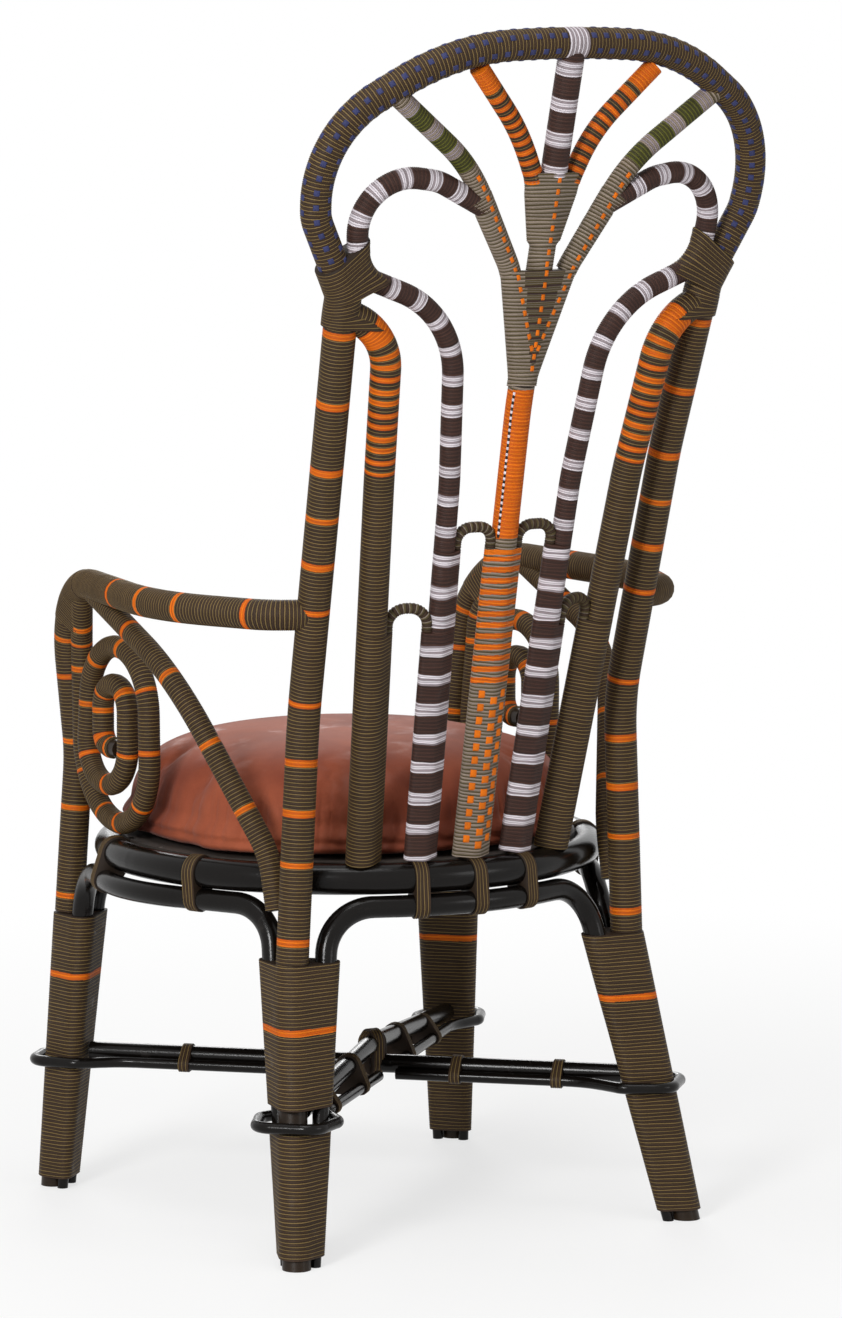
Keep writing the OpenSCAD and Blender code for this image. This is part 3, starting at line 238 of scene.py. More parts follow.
def windingTree():
    tree = bpy.data.node_groups.new("cordWinding", "GeometryNodeTree")
    for name, kind in [("Pole", "Geometry"), ("Radius", "Float"), ("Cord Width", "Float"),
                       ("Groove Depth", "Float"), ("Sides", "Int"), ("Cord Material", "Material")]:
        tree.interface.new_socket(name, in_out="INPUT", socket_type="NodeSocket" + kind)
    tree.interface.new_socket("Winding", in_out="OUTPUT", socket_type="NodeSocketGeometry")
    given = tree.nodes.new("NodeGroupInput").outputs
    pole, radius, width, depth, sides, material = (given[k] for k in range(6))
    length = tree.nodes.new("GeometryNodeCurveLength")
    tree.links.new(pole, length.inputs[0])
    span = length.outputs[0]
    # four rows of points to a cord
    turns = addMath(tree, "DIVIDE", span, width)
    rows = addMath(tree, "ADD", addMath(tree, "CEIL", addMath(tree, "MULTIPLY", turns, 4)), 7)
    columns = addMath(tree, "ADD", sides, 1)
    grid = tree.nodes.new("GeometryNodeMeshGrid")
    tree.links.new(rows, grid.inputs["Vertices X"])
    tree.links.new(columns, grid.inputs["Vertices Y"])
    index = tree.nodes.new("GeometryNodeInputIndex").outputs[0]
    row = addMath(tree, "FLOOR", addMath(tree, "DIVIDE", addMath(tree, "ADD", index, 0.5), columns))
    column = addMath(tree, "SUBTRACT", index, addMath(tree, "MULTIPLY", row, columns))
    part = addMath(tree, "DIVIDE", column, sides)
    step = addMath(tree, "SUBTRACT", row, 1)
    wanted = addMath(tree, "MULTIPLY", addMath(tree, "DIVIDE", step, 4), width)
    held = addMath(tree, "MINIMUM", addMath(tree, "MAXIMUM", wanted, 0), span)
    past = addMath(tree, "ABSOLUTE", addMath(tree, "SUBTRACT", wanted, held))
    onPole = addMath(tree, "LESS_THAN", past, 1e-7)
    swell = addMath(tree, "ABSOLUTE", addMath(tree, "SINE", addMath(tree, "MULTIPLY", step, math.pi / 4)))
    rise = addMath(tree, "MULTIPLY", swell, onPole)
    groove = addMath(tree, "SUBTRACT", 1, rise)
    notFirst = addMath(tree, "GREATER_THAN", row, 0.5)
    notLast = addMath(tree, "LESS_THAN", row, addMath(tree, "SUBTRACT", rows, 1.5))
    outer = addMath(tree, "SUBTRACT", radius, addMath(tree, "MULTIPLY", depth, groove))
    reach = addMath(tree, "MULTIPLY", outer, addMath(tree, "MULTIPLY", notFirst, notLast))
    angle = addMath(tree, "MULTIPLY", part, -2 * math.pi)
    # the turns wander a little, as wound by hand
    spot = tree.nodes.new("ShaderNodeCombineXYZ")
    for k, value in enumerate((addMath(tree, "COSINE", angle), addMath(tree, "SINE", angle),
                               addMath(tree, "MULTIPLY", held, 90))):
        tree.links.new(value, spot.inputs[k])
    wander = tree.nodes.new("ShaderNodeTexNoise")
    wander.inputs["Scale"].default_value = 0.9
    tree.links.new(spot.outputs[0], wander.inputs["Vector"])
    lean = addMath(tree, "SUBTRACT", wander.outputs[0], 0.5)
    stray = addMath(tree, "MULTIPLY", lean, addMath(tree, "MULTIPLY", width, 0.7))
    sampled = addMath(tree, "MINIMUM", addMath(tree, "MAXIMUM", addMath(tree, "ADD", held, stray), 0), span)
    sample = tree.nodes.new("GeometryNodeSampleCurve")
    sample.mode = "LENGTH"
    tree.links.new(pole, sample.inputs["Curves"])
    tree.links.new(sampled, sample.inputs["Length"])
    out = sample.outputs
    aside = addVector(tree, "CROSS_PRODUCT", out["Tangent"], out["Normal"])

    def scaled(vector, amount):
        node = tree.nodes.new("ShaderNodeVectorMath")
        node.operation = "SCALE"
        tree.links.new(vector, node.inputs[0])
        tree.links.new(amount, node.inputs["Scale"])
        return node.outputs[0]

    place = addVector(tree, "ADD", out["Position"], addVector(
        tree, "ADD", scaled(out["Normal"], addMath(tree, "MULTIPLY", reach, addMath(tree, "COSINE", angle))),
        scaled(aside, addMath(tree, "MULTIPLY", reach, addMath(tree, "SINE", angle)))))

    def store(geometry, name, value, domain):
        node = tree.nodes.new("GeometryNodeStoreNamedAttribute")
        node.data_type, node.domain = "FLOAT", domain
        node.inputs["Name"].default_value = name
        tree.links.new(geometry, node.inputs["Geometry"])
        tree.links.new(value, node.inputs["Value"])
        return node.outputs[0]

    faceRow = addMath(tree, "FLOOR", addMath(tree, "DIVIDE", addMath(tree, "ADD", index, 0.5), sides))
    turnNo = addMath(tree, "FLOOR", addMath(tree, "DIVIDE", addMath(tree, "SUBTRACT", faceRow, 0.9), 4))
    quarter = addMath(tree, "FLOORED_MODULO", addMath(tree, "SUBTRACT", faceRow, 1), 4)
    mesh = store(grid.outputs["Mesh"], "turn", turnNo, "FACE")
    mesh = store(mesh, "quarter", quarter, "FACE")
    sideNo = addMath(tree, "SUBTRACT", index, addMath(tree, "MULTIPLY", faceRow, sides))
    mesh = store(mesh, "side", sideNo, "FACE")
    mesh = store(mesh, "groove", groove, "POINT")
    move = tree.nodes.new("GeometryNodeSetPosition")
    tree.links.new(mesh, move.inputs["Geometry"])
    tree.links.new(place, move.inputs["Position"])
    merge = tree.nodes.new("GeometryNodeMergeByDistance")
    merge.inputs["Distance"].default_value = 1e-5
    tree.links.new(move.outputs[0], merge.inputs["Geometry"])
    real = tree.nodes.new("GeometryNodeRealizeInstances")
    tree.links.new(merge.outputs[0], real.inputs[0])
    finish = tree.nodes.new("GeometryNodeSetMaterial")
    tree.links.new(real.outputs[0], finish.inputs["Geometry"])
    tree.links.new(material, finish.inputs["Material"])
    tree.links.new(finish.outputs[0], tree.nodes.new("NodeGroupOutput").inputs[0])
    return tree


windingNodes = windingTree()


# Materials
def newGroup(name, inputs, outputs):
    group = bpy.data.node_groups.new(name, "ShaderNodeTree")
    for label, kind, value in inputs:
        socket = group.interface.new_socket(label, in_out="INPUT", socket_type="NodeSocket" + kind)
        socket.default_value = value
    for label, kind in outputs:
        group.interface.new_socket(label, in_out="OUTPUT", socket_type="NodeSocket" + kind)
    return group, group.nodes.new("NodeGroupInput").outputs, group.nodes.new("NodeGroupOutput").inputs


def addNoise(tree, vector, scale, detail, roughness=0.5):
    noise = tree.nodes.new("ShaderNodeTexNoise")
    noise.inputs["Detail"].default_value = detail
    noise.inputs["Roughness"].default_value = roughness
    if isinstance(scale, (int, float)):
        noise.inputs["Scale"].default_value = scale
    else:
        tree.links.new(scale, noise.inputs["Scale"])
    tree.links.new(vector, noise.inputs["Vector"])
    return noise.outputs[0]


def addRange(tree, value, low, high, start, end):
    node = tree.nodes.new("ShaderNodeMapRange")
    tree.links.new(value, node.inputs["Value"])
    for label, amount in zip(("From Min", "From Max", "To Min", "To Max"), (low, high, start, end)):
        if isinstance(amount, (int, float)):
            node.inputs[label].default_value = amount
        else:
            tree.links.new(amount, node.inputs[label])
    return node.outputs[0]


def addTint(tree, colour, factor):
    mix = tree.nodes.new("ShaderNodeMix")
    mix.data_type, mix.blend_type = "RGBA", "MULTIPLY"
    mix.inputs[0].default_value = 1
    spare = tree.nodes.new("ShaderNodeCombineColor")
    for k in range(3):
        tree.links.new(factor, spare.inputs[k])
    tree.links.new(colour, mix.inputs[6])
    tree.links.new(spare.outputs[0], mix.inputs[7])
    return mix.outputs[2]


# Grain: two sizes of unevenness, as a shade round 1 and as a height
def grainGroup():
    group, given, out = newGroup(
        "handGrain", [("Fine Scale", "Float", 900), ("Coarse Scale", "Float", 30), ("Shade", "Float", 0.2)],
        [("Shade", "Float"), ("Height", "Float")])
    place = group.nodes.new("ShaderNodeTexCoord").outputs["Object"]
    fine = addNoise(group, place, given["Fine Scale"], 4, 0.6)
    coarse = addNoise(group, place, given["Coarse Scale"], 3)
    both = addMath(group, "ADD", addMath(group, "MULTIPLY", fine, 0.6), addMath(group, "MULTIPLY", coarse, 0.4))
    swing = addMath(group, "MULTIPLY", addMath(group, "SUBTRACT", both, 0.5), given["Shade"])
    group.links.new(addMath(group, "ADD", 1, addMath(group, "MULTIPLY", swing, 4)), out["Shade"])
    group.links.new(both, out["Height"])
    return group


# Rubbed places: a soft-edged mask from noise
def rubGroup():
    group, given, out = newGroup("rubbedPlaces", [("Scale", "Float", 40), ("Amount", "Float", 0.3)],
                                 [("Mask", "Float")])
    place = group.nodes.new("ShaderNodeTexCoord").outputs["Object"]
    spots = addNoise(group, place, given["Scale"], 5, 0.65)
    edge = addMath(group, "SUBTRACT", 0.78, addMath(group, "MULTIPLY", given["Amount"], 0.4))
    group.links.new(addRange(group, spots, edge, addMath(group, "ADD", edge, 0.12), 0, 1), out["Mask"])
    return group


handGrain, rubbedPlaces = grainGroup(), rubGroup()


def newMaterial(name, roughness=0.5, **constants):
    material = bpy.data.materials.new(name)
    material.use_nodes = True
    tree = material.node_tree
    shader = tree.nodes["Principled BSDF"]
    shader.inputs["Roughness"].default_value = roughness
    for label, value in constants.items():
        shader.inputs[label.replace("_", " ")].default_value = value
    return material, tree, shader


def placeGroup(tree, group, **values):
    node = tree.nodes.new("ShaderNodeGroup")
    node.node_tree = group
    for label, value in values.items():
        node.inputs[label.replace("_", " ")].default_value = value
    return node.outputs


def addBump(tree, shader, height, strength, distance):
    bump = tree.nodes.new("ShaderNodeBump")
    bump.inputs["Strength"].default_value = strength
    bump.inputs["Distance"].default_value = distance
    tree.links.new(height, bump.inputs["Height"])
    tree.links.new(bump.outputs[0], shader.inputs["Normal"])


def cordMaterial():
    material, tree, shader = newMaterial("woundCord", 0.55, Specular_IOR_Level=0.2)
    paint = tree.nodes.new("ShaderNodeAttribute")
    paint.attribute_name = "cordColour"
    dip = tree.nodes.new("ShaderNodeAttribute")
    dip.attribute_name = "groove"
    grain = placeGroup(tree, handGrain, Fine_Scale=1400, Coarse_Scale=35, Shade=0.16)
    # Painted shade: the grooves between cords are darkened in the base colour, as far as the colour's alpha allows
    deep = addRange(tree, dip.outputs["Fac"], 0.1, 1, 0, 0.62)
    dark = addMath(tree, "MULTIPLY", deep, paint.outputs["Alpha"])
    shade = addMath(tree, "MULTIPLY", grain["Shade"], addMath(tree, "SUBTRACT", 1.04, dark))
    tree.links.new(addTint(tree, paint.outputs["Color"], shade), shader.inputs["Base Color"])
    rub = placeGroup(tree, rubbedPlaces, Scale=55, Amount=0.5)
    tree.links.new(addRange(tree, rub["Mask"], 0, 1, 0.62, 0.42), shader.inputs["Roughness"])
    addBump(tree, shader, grain["Height"], 0.35, 0.0004)
    return material


def lacquerMaterial(name, colour, roughness, coat):
    material, tree, shader = newMaterial(name, roughness, Coat_Weight=coat, Coat_Roughness=0.1, Coat_IOR=1.3,
                                         Specular_IOR_Level=0.13)
    grain = placeGroup(tree, handGrain, Fine_Scale=420, Coarse_Scale=18, Shade=0.25)
    rub = placeGroup(tree, rubbedPlaces, Scale=32, Amount=0.35)
    blend = tree.nodes.new("ShaderNodeMix")
    blend.data_type = "RGBA"
    blend.inputs[6].default_value = colour
    blend.inputs[7].default_value = tuple(min(1, c * 2.6 + 0.004) for c in colour[:3]) + (1,)
    tree.links.new(rub["Mask"], blend.inputs[0])
    tree.links.new(addTint(tree, blend.outputs[2], grain["Shade"]), shader.inputs["Base Color"])
    tree.links.new(addRange(tree, rub["Mask"], 0, 1, roughness, roughness + 0.22), shader.inputs["Roughness"])
    addBump(tree, shader, grain["Height"], 0.25, 0.0012)
    return material


def leatherMaterial():
    material, tree, shader = newMaterial("suedeLeather", 0.7, Sheen_Weight=0.08, Sheen_Roughness=0.5,
                                         Specular_IOR_Level=0.25)
    grain = placeGroup(tree, handGrain, Fine_Scale=700, Coarse_Scale=9, Shade=0.17)
    place = tree.nodes.new("ShaderNodeTexCoord").outputs["Object"]
    blend = tree.nodes.new("ShaderNodeMix")
    blend.data_type = "RGBA"
    blend.inputs[6].default_value = tone(112, 49, 30)
    blend.inputs[7].default_value = tone(156, 80, 52)
    tree.links.new(addRange(tree, addNoise(tree, place, 6, 4, 0.55), 0.35, 0.65, 0, 1), blend.inputs[0])
    tree.links.new(addTint(tree, blend.outputs[2], grain["Shade"]), shader.inputs["Base Color"])
    rub = placeGroup(tree, rubbedPlaces, Scale=14, Amount=0.6)
    tree.links.new(addRange(tree, rub["Mask"], 0, 1, 0.78, 0.55), shader.inputs["Roughness"])
    addBump(tree, shader, grain["Height"], 0.3, 0.0008)
    return material


def plainMaterial(name, colour, roughness, shade, metallic=0.0):
    material, tree, shader = newMaterial(name, roughness, Metallic=metallic)
    grain = placeGroup(tree, handGrain, Fine_Scale=300, Coarse_Scale=14, Shade=shade)
    paint = tree.nodes.new("ShaderNodeRGB")
    paint.outputs[0].default_value = colour
    tree.links.new(addTint(tree, paint.outputs[0], grain["Shade"]), shader.inputs["Base Color"])
    addBump(tree, shader, grain["Height"], 0.3, 0.0008)
    return material


woundCord = cordMaterial()
blackLacquer = lacquerMaterial("blackLacquer", tone(14, 11, 9), 0.2, 0.2)
stainedRattan = lacquerMaterial("stainedRattan", tone(40, 30, 21), 0.4, 0.15)
suede = leatherMaterial()
# The deck board is painted dark: painted shade for the gap under the cushion
deckBoardPaintedShade = plainMaterial("deckBoardPaintedShade", tone(46, 38, 32), 0.7, 0.3)
dowelWood = plainMaterial("dowelWood", tone(198, 160, 108), 0.6, 0.3)
screwSteel = plainMaterial("screwSteel", tone(170, 170, 168), 0.35, 0.1, 1.0)
print("materials ready")

slotLooks = {"rattan_pole": stainedRattan, "black_rattan": blackLacquer, "deck_board": deckBoardPaintedShade,
             "dowel_wood": dowelWood, "steel": screwSteel}
slotOf = {row["node"]: row["material_slot"] for row in frame["record"]["subparts"]}
for nodeName, obj in frame["nodes"].items():
    look = slotLooks.get(slotOf[nodeName])
    if look:
        obj.data.materials.clear()
        obj.data.materials.append(look)


# Colours each face of a winding by its turn; choose() gives the tone of every face
def paintCord(mesh, choose, seed, startAt, width=cord):
    count = len(mesh.polygons)
    read = {}
    for key in ("turn", "side", "quarter"):
        read[key] = np.zeros(count, np.float32)
        mesh.attributes[key].data.foreach_get("value", read[key])
    centres = np.zeros(count * 3, np.float32)
    normals = np.zeros(count * 3, np.float32)
    mesh.polygons.foreach_get("center", centres)
    mesh.polygons.foreach_get("normal", normals)
    turn = read["turn"].astype(int)
    normals = normals.reshape(-1, 3)
    quarter = read["quarter"].astype(int)
    far = startAt + turn * width
    facing = np.degrees(np.arctan2(normals[:, 0], normals[:, 1]))
    tones = choose(turn=turn, far=far, side=read["side"].astype(int), facing=facing,
                   place=centres.reshape(-1, 3) / mm + middle)
    # an olive cord is thinner than its brown neighbours, and a pale one than its dark neighbours
    edge = (quarter == 0) | (quarter == 3)
    tones = np.where(edge & (tones == pick["olive"]), pick["brown"], tones)
    tones = np.where((quarter == 3) & (tones == pick["moss"]), pick["grey"], tones)
    colours = toneTable[tones].copy()
    uneven = np.random.default_rng(seed).uniform(0.86, 1.12, turn.max() - turn.min() + 1)
    colours[:, :3] *= uneven[turn - turn.min()][:, None]
    corners = np.zeros(count, np.int32)
    mesh.polygons.foreach_get("loop_total", corners)
    layer = mesh.attributes.new("cordColour", "FLOAT_COLOR", "CORNER")
    layer.data.foreach_set("color", np.repeat(colours, corners, axis=0).astype(np.float32).ravel())
    mesh.polygons.foreach_set("use_smooth", np.ones(count, bool))
    for key in ("turn", "side", "quarter"):
        mesh.attributes.remove(mesh.attributes[key])


socketOf = {item.name: item.identifier for item in windingNodes.interface.items_tree
            if item.in_out == "INPUT"}


# Winds cord round a pole between two distances along its route
def windPole(name, path, start, end, radius, choose, sides=18, width=cord, depth=ribDepth, seed=1,
             flip=False):
    count = max(3, int((end - start) / traceStep))
    points = (path.at(np.linspace(start, end, count)) - middle) * mm
    if flip:
        points = points * [-1, 1, 1]
    curve = bpy.data.curves.new(name, "CURVE")
    curve.dimensions = "3D"
    spline = curve.splines.new("POLY")
    spline.points.add(count - 1)
    spline.points.foreach_set("co", np.c_[points, np.ones(count)].ravel())
    obj = bpy.data.objects.new(name + "Curve", curve)
    scene.collection.objects.link(obj)
    modifier = obj.modifiers.new("winding", "NODES")
    modifier.node_group = windingNodes
    modifier[socketOf["Radius"]] = radius * mm
    modifier[socketOf["Cord Width"]] = width * mm
    modifier[socketOf["Groove Depth"]] = depth * mm
    modifier[socketOf["Sides"]] = sides
    modifier[socketOf["Cord Material"]] = woundCord
    graph = bpy.context.evaluated_depsgraph_get()
    mesh = bpy.data.meshes.new_from_object(obj.evaluated_get(graph), preserve_all_data_layers=True,
                                           depsgraph=graph)
    obj.modifiers.remove(modifier)
    bpy.data.objects.remove(obj)
    bpy.data.curves.remove(curve)
    paintCord(mesh, choose, seed, start, width)
    return mesh


# Outline round several circles (x, y, r), evenly divided, counter-clockwise from the +x side
def hullOutline(circles, sides):
    turn = np.linspace(0, 2 * math.pi, 96, endpoint=False)
    cloud = np.concatenate([np.stack([x + r * np.cos(turn), y + r * np.sin(turn)], 1) for x, y, r in circles])
    cloud = cloud[np.lexsort((cloud[:, 1], cloud[:, 0]))]

    def chain(points):
        keep = []
        for p in points:
            while len(keep) > 1 and ((keep[-1][0] - keep[-2][0]) * (p[1] - keep[-2][1])
                                     - (keep[-1][1] - keep[-2][1]) * (p[0] - keep[-2][0])) <= 0:
                keep.pop()
            keep.append(p)
        return keep[:-1]

    loop = np.array(chain(cloud) + chain(cloud[::-1]))
    middlePoint = loop.mean(0)
    first = np.argmax(np.cos(np.arctan2(*(loop - middlePoint).T[::-1])))
    loop = np.roll(loop, -first, axis=0)
    closed = np.vstack([loop, loop[:1]])
    far = np.r_[0, np.cumsum(np.linalg.norm(np.diff(closed, axis=0), axis=1))]
    even = np.linspace(0, far[-1], sides, endpoint=False)
    points = np.stack([np.interp(even, far, closed[:, k]) for k in (0, 1)], 1)
    edge = np.roll(points, -1, 0) - np.roll(points, 1, 0)
    outward = np.stack([edge[:, 1], -edge[:, 0]], 1)
    return points, outward / np.linalg.norm(outward, axis=1)[:, None]


# Winds cord round a bundle: stations are (distance, middle, x direction, y direction, circles)
def windBundle(name, stations, choose, sides=30, seed=1, startAt=0.0, flip=False):
    far = np.array([s[0] for s in stations], float)
    rings, lifts, hearts = [], [], []
    for _, heart, x, y, circles in stations:
        flat, outward = hullOutline(circles, sides)
        x, y = np.asarray(x, float), np.asarray(y, float)
        rings.append(heart + flat[:, :1] * x + flat[:, 1:] * y)
        lifts.append(outward[:, :1] * x + outward[:, 1:] * y)
        hearts.append(heart + flat.mean(0)[0] * x + flat.mean(0)[1] * y)
    rings, lifts, hearts = map(np.array, (rings, lifts, hearts))
    length = far[-1] - far[0]
    rows = int(math.ceil(length / cord * 4)) + 5
    row, column = np.meshgrid(np.arange(rows), np.arange(sides), indexing="ij")
    wanted = (row / 4 - 0.25) * cord + far[0]
    held = np.clip(wanted, far[0], far[-1])
    onPole = np.abs(wanted - held) < 1e-9
    stray = 0.16 * cord * (np.sin(held * 0.31 + column * 4 * math.pi / sides)
                           + np.sin(held * 0.083 + column * 2 * math.pi / sides + 2))
    rise = np.abs(np.sin((row - 1) * math.pi / 4)) * onPole
    held = np.clip(held + stray, far[0], far[-1])
    spot = np.interp(held, far, np.arange(len(far)))
    low = np.minimum(spot.astype(int), len(far) - 2)
    part = (spot - low)[..., None]
    points = rings[low, column] * (1 - part) + rings[low + 1, column] * part
    normal = lifts[low, column] * (1 - part) + lifts[low + 1, column] * part
    points = points - normal * (ribDepth * (1 - rise))[..., None]
    verts = np.vstack([points.reshape(-1, 3), hearts[:1], hearts[-1:]])
    verts = (verts - middle) * mm
    if flip:
        verts = verts * [-1, 1, 1]
    last = rows - 1
    number = np.arange(rows * sides).reshape(rows, sides)
    following = np.roll(number, -1, axis=1)
    quads = np.stack([number[:-1], following[:-1], following[1:], number[1:]], -1).reshape(-1, 4)
    faceRow = np.maximum(np.arange(rows - 1) - 1, 0)
    turn = np.repeat(faceRow // 4, sides)
    quarter = np.repeat(faceRow % 4, sides)
    side = np.tile(np.arange(sides), rows - 1)
    firstHeart, lastHeart = rows * sides, rows * sides + 1
    fans = [(firstHeart, following[0, c], number[0, c]) for c in range(sides)]
    fans += [(lastHeart, number[last, c], following[last, c]) for c in range(sides)]
    faces = [tuple(q) for q in quads.tolist()] + fans
    turn = np.r_[turn, np.zeros(sides), np.full(sides, turn[-1])]
    quarter = np.r_[quarter, np.zeros(2 * sides, int)]
    side = np.r_[side, np.arange(sides), np.arange(sides)]
    if flip:
        faces = [f[::-1] for f in faces]
    mesh = bpy.data.meshes.new(name)
    mesh.from_pydata(verts.tolist(), [], faces)
    for key, values in (("turn", turn), ("side", side), ("quarter", quarter)):
        mesh.attributes.new(key, "FLOAT", "FACE").data.foreach_set("value", values.astype(np.float32))
    dip = np.r_[(1 - rise).ravel(), 1, 1]
    mesh.attributes.new("groove", "FLOAT", "POINT").data.foreach_set("value", dip.astype(np.float32))
    tidy = bmesh.new()
    tidy.from_mesh(mesh)
    bmesh.ops.remove_doubles(tidy, verts=tidy.verts, dist=1e-5)
    bmesh.ops.dissolve_degenerate(tidy, edges=tidy.edges, dist=1e-6)
    tidy.to_mesh(mesh)
    tidy.free()
    mesh.materials.append(woundCord)
    paintCord(mesh, choose, seed, startAt)
    return mesh


# One object from several meshes, in the place of the CAD's own nodes
def finishWinding(name, meshes, slot, *nodes):
    objects = []
    for mesh in meshes:
        obj = bpy.data.objects.new(name, mesh)
        scene.collection.objects.link(obj)
        objects.append(obj)
    if len(objects) > 1:
        with bpy.context.temp_override(active_object=objects[0], object=objects[0], selected_objects=objects,
                                       selected_editable_objects=objects):
            bpy.ops.object.join()
    obj = objects[0]
    obj.name = name
    obj.data.name = name
    if not len(obj.data.materials):
        obj.data.materials.append(woundCord)
    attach(obj, "frame")
    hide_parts(*nodes)


# Patterns: each gives the tone number of every face
def twoTone(turn, even, odd):
    return np.where(turn % 2 == 0, pick[even], pick[odd])


def addOrange(tones, turn, hit):
    tones[hit] = twoTone(turn[hit], "orange", "rust")


def plainCord(turn, **_):
    return twoTone(turn, "brown", "olive")


def greyCord(turn, **_):
    return twoTone(turn, "grey", "moss")


def striped(places, width):
    def choose(turn, far, **_):
        tones = plainCord(turn)
        for place in places:
            addOrange(tones, turn, np.abs(far - place) < width / 2)
        return tones
    return choose


# Dark cord with white bands
def whiteBands(turn, far, places, width):
    tones = twoTone(turn, "plum", "umber")
    for place in places:
        hit = np.abs(far - place) < width / 2
        tones[hit] = np.where(turn[hit] % 3 == 1, pick["silver"], pick["white"])
    return tones


postPath, armPath, bracePath, scrollPath = Path(post), Path(arm), Path(brace), Path(scroll)
hoopPath, centrePath, hookPath, stilePath = Path(hoop), Path(centre), Path(hook), Path(stile)
outerPath, innerPath = Path(outerFrond), Path(innerFrond)

# Stripes are given by how far along the pole they are; start and end say how much of it is left bare
posts = {"radius": 16.25, "start": 335, "end": 0, "stripe": 7.2, "seed": 11, "sides": 18,
         "stripes": [1065, 983, 905, 850, 796, 742, 633, 565, 508, 451, 363]}
arms = {"radius": 15, "start": 330, "end": 6, "stripe": 6.4, "seed": 12, "sides": 18,
        "stripes": [348, 454, 534, 612, 659, 707, 757, 880, 957, 1026, 1123]}
scrolls = {"radius": 10.5, "start": 2, "end": 14, "stripe": 5.2, "seed": 13, "sides": 16,
           "stripes": [55, 79, 109, 230, 293, 338, 400, 468, 538, 609, 676, 735, 796, 859, 923, 991, 1045,
                       1067, 1098, 1104, 1122]}
braces = {"radius": 10.75, "start": 2, "end": 1, "stripe": 6.4, "seed": 14, "sides": 16,
          "stripes": [95, 189, 282, 365]}


def windStriped(name, path, look, flip):
    return windPole(name, path, look["start"], path.length - look["end"], look["radius"] + wrap,
                    striped(look["stripes"], look["stripe"]), look["sides"], seed=look["seed"], flip=flip)


for mirror, side in ((False, "left"), (True, "right")):
    tag = side.capitalize()
    for name, path, look in (("post", postPath, posts), ("arm", armPath, arms), ("scroll", scrollPath, scrolls)):
        finishWinding(name + "Winding" + tag, [windStriped(name, path, look, mirror)], "brown_cord",
                      name + "_wrap_" + side)
finishWinding("braceWindings", [windStriped("brace", bracePath, braces, mirror) for mirror in (False, True)],
              "brown_cord", "brace_wraps")
print("posts, arms, scrolls and braces wound")


# Stitches: short lengths of cord laid over a winding, n by n points above and as many below
# Each is (place, along, outward, length, width, bend, tone); its base is sunk a little into the winding
stitchForm = {"n": 5, "rise": 0.55, "lift": 0.05, "sink": -0.9, "groove": 0.35}


def stitchMesh(name, stitches, seed, flip=False):
    n, verts, faces, colours = stitchForm["n"], [], [], []
    rng = np.random.default_rng(seed)
    for place, along, out, length, width, bend, toneName in stitches:
        along, out = unit(along), unit(out - unit(along) * float(np.dot(out, unit(along))))
        aside = np.cross(along, out)
        first = len(verts)
        for level in (1, 0):
            for i in range(n):
                for j in range(n):
                    u, v = i / (n - 1) * 2 - 1, j / (n - 1) * 2 - 1
                    a = v * width / 2 / bend
                    crown = stitchForm["rise"] * (1 - u ** 4) * (1 - 0.5 * v ** 4) + stitchForm["lift"]
                    h = crown if level else stitchForm["sink"]
                    verts.append(place + along * u * length / 2 + aside * bend * math.sin(a)
                                 + out * (bend * (math.cos(a) - 1) + h))
        new = []
        for i in range(n - 1):
            for j in range(n - 1):
                a = first + i * n + j
                new.append((a, a + n, a + n + 1, a + 1))
                b = a + n * n
                new.append((b, b + 1, b + n + 1, b + n))
        rim = [first + j for j in range(n)] + [first + i * n + n - 1 for i in range(1, n)]
        rim += [first + (n - 1) * n + j for j in range(n - 2, -1, -1)]
        rim += [first + i * n for i in range(n - 2, 0, -1)]
        new += [(a, b, b + n * n, a + n * n) for a, b in zip(rim, rim[1:] + rim[:1])]
        faces += new
        colour = toneTable[pick[toneName]].copy()
        colour[:3] *= rng.uniform(0.85, 1.1)
        # the alpha sets how much painted shade darkens the grooves
        colour[3] = stitchForm["groove"]
        colours += [colour] * len(new)
    verts = (np.array(verts) - middle) * mm
    if flip:
        verts = verts * [-1, 1, 1]
        faces = [f[::-1] for f in faces]
    mesh = bpy.data.meshes.new(name)
    mesh.from_pydata(verts.tolist(), [], faces)
    layer = mesh.attributes.new("cordColour", "FLOAT_COLOR", "CORNER")
    layer.data.foreach_set("color", np.repeat(np.array(colours), 4, axis=0).astype(np.float32).ravel())
    flat = np.zeros(len(verts), np.float32)
    mesh.attributes.new("groove", "FLOAT", "POINT").data.foreach_set("value", flat)
    mesh.polygons.foreach_set("use_smooth", np.ones(len(faces), bool))
    mesh.materials.append(woundCord)
    return mesh


# Crest hoop: brown and olive with staggered blue checks, and a white band at the top
crest = {"radius": 14.75, "band": 25, "check": 6.4, "period": 15.6, "rowsRound": 6, "first": 22}


def whiteCord(turn, **_):
    return twoTone(turn, "white", "silver")


half, reach = hoopPath.length / 2, crest["radius"] + wrap
bandStart = half - crest["band"] / 2
finishWinding("crestWinding", [windPole("crestA", hoopPath, 0, bandStart, reach, plainCord, seed=21),
                               windPole("crestB", hoopPath, 0, bandStart, reach, plainCord, seed=22, flip=True)],
              "brown_cord", "crest_wrap")
checks = []
for k in range(crest["rowsRound"]):
    turnBy = 2 * math.pi * (k + 0.5) / crest["rowsRound"]
    for s in np.arange(crest["first"] + (k % 2) * crest["period"] / 2, bandStart - 4, crest["period"]):
        t = hoopPath.along(s)
        x = unit(np.array([0, 1, 0]) - t * t[1])
        out = x * math.cos(turnBy) + np.cross(t, x) * math.sin(turnBy)
        checks.append((hoopPath.at(s) + out * reach, t, out, crest["check"], crest["check"], reach, "blue"))
finishWinding("crestChecks", [stitchMesh("checks", checks, 5), stitchMesh("checks", checks, 6, True)],
              "brown_cord", "crest_wrap")
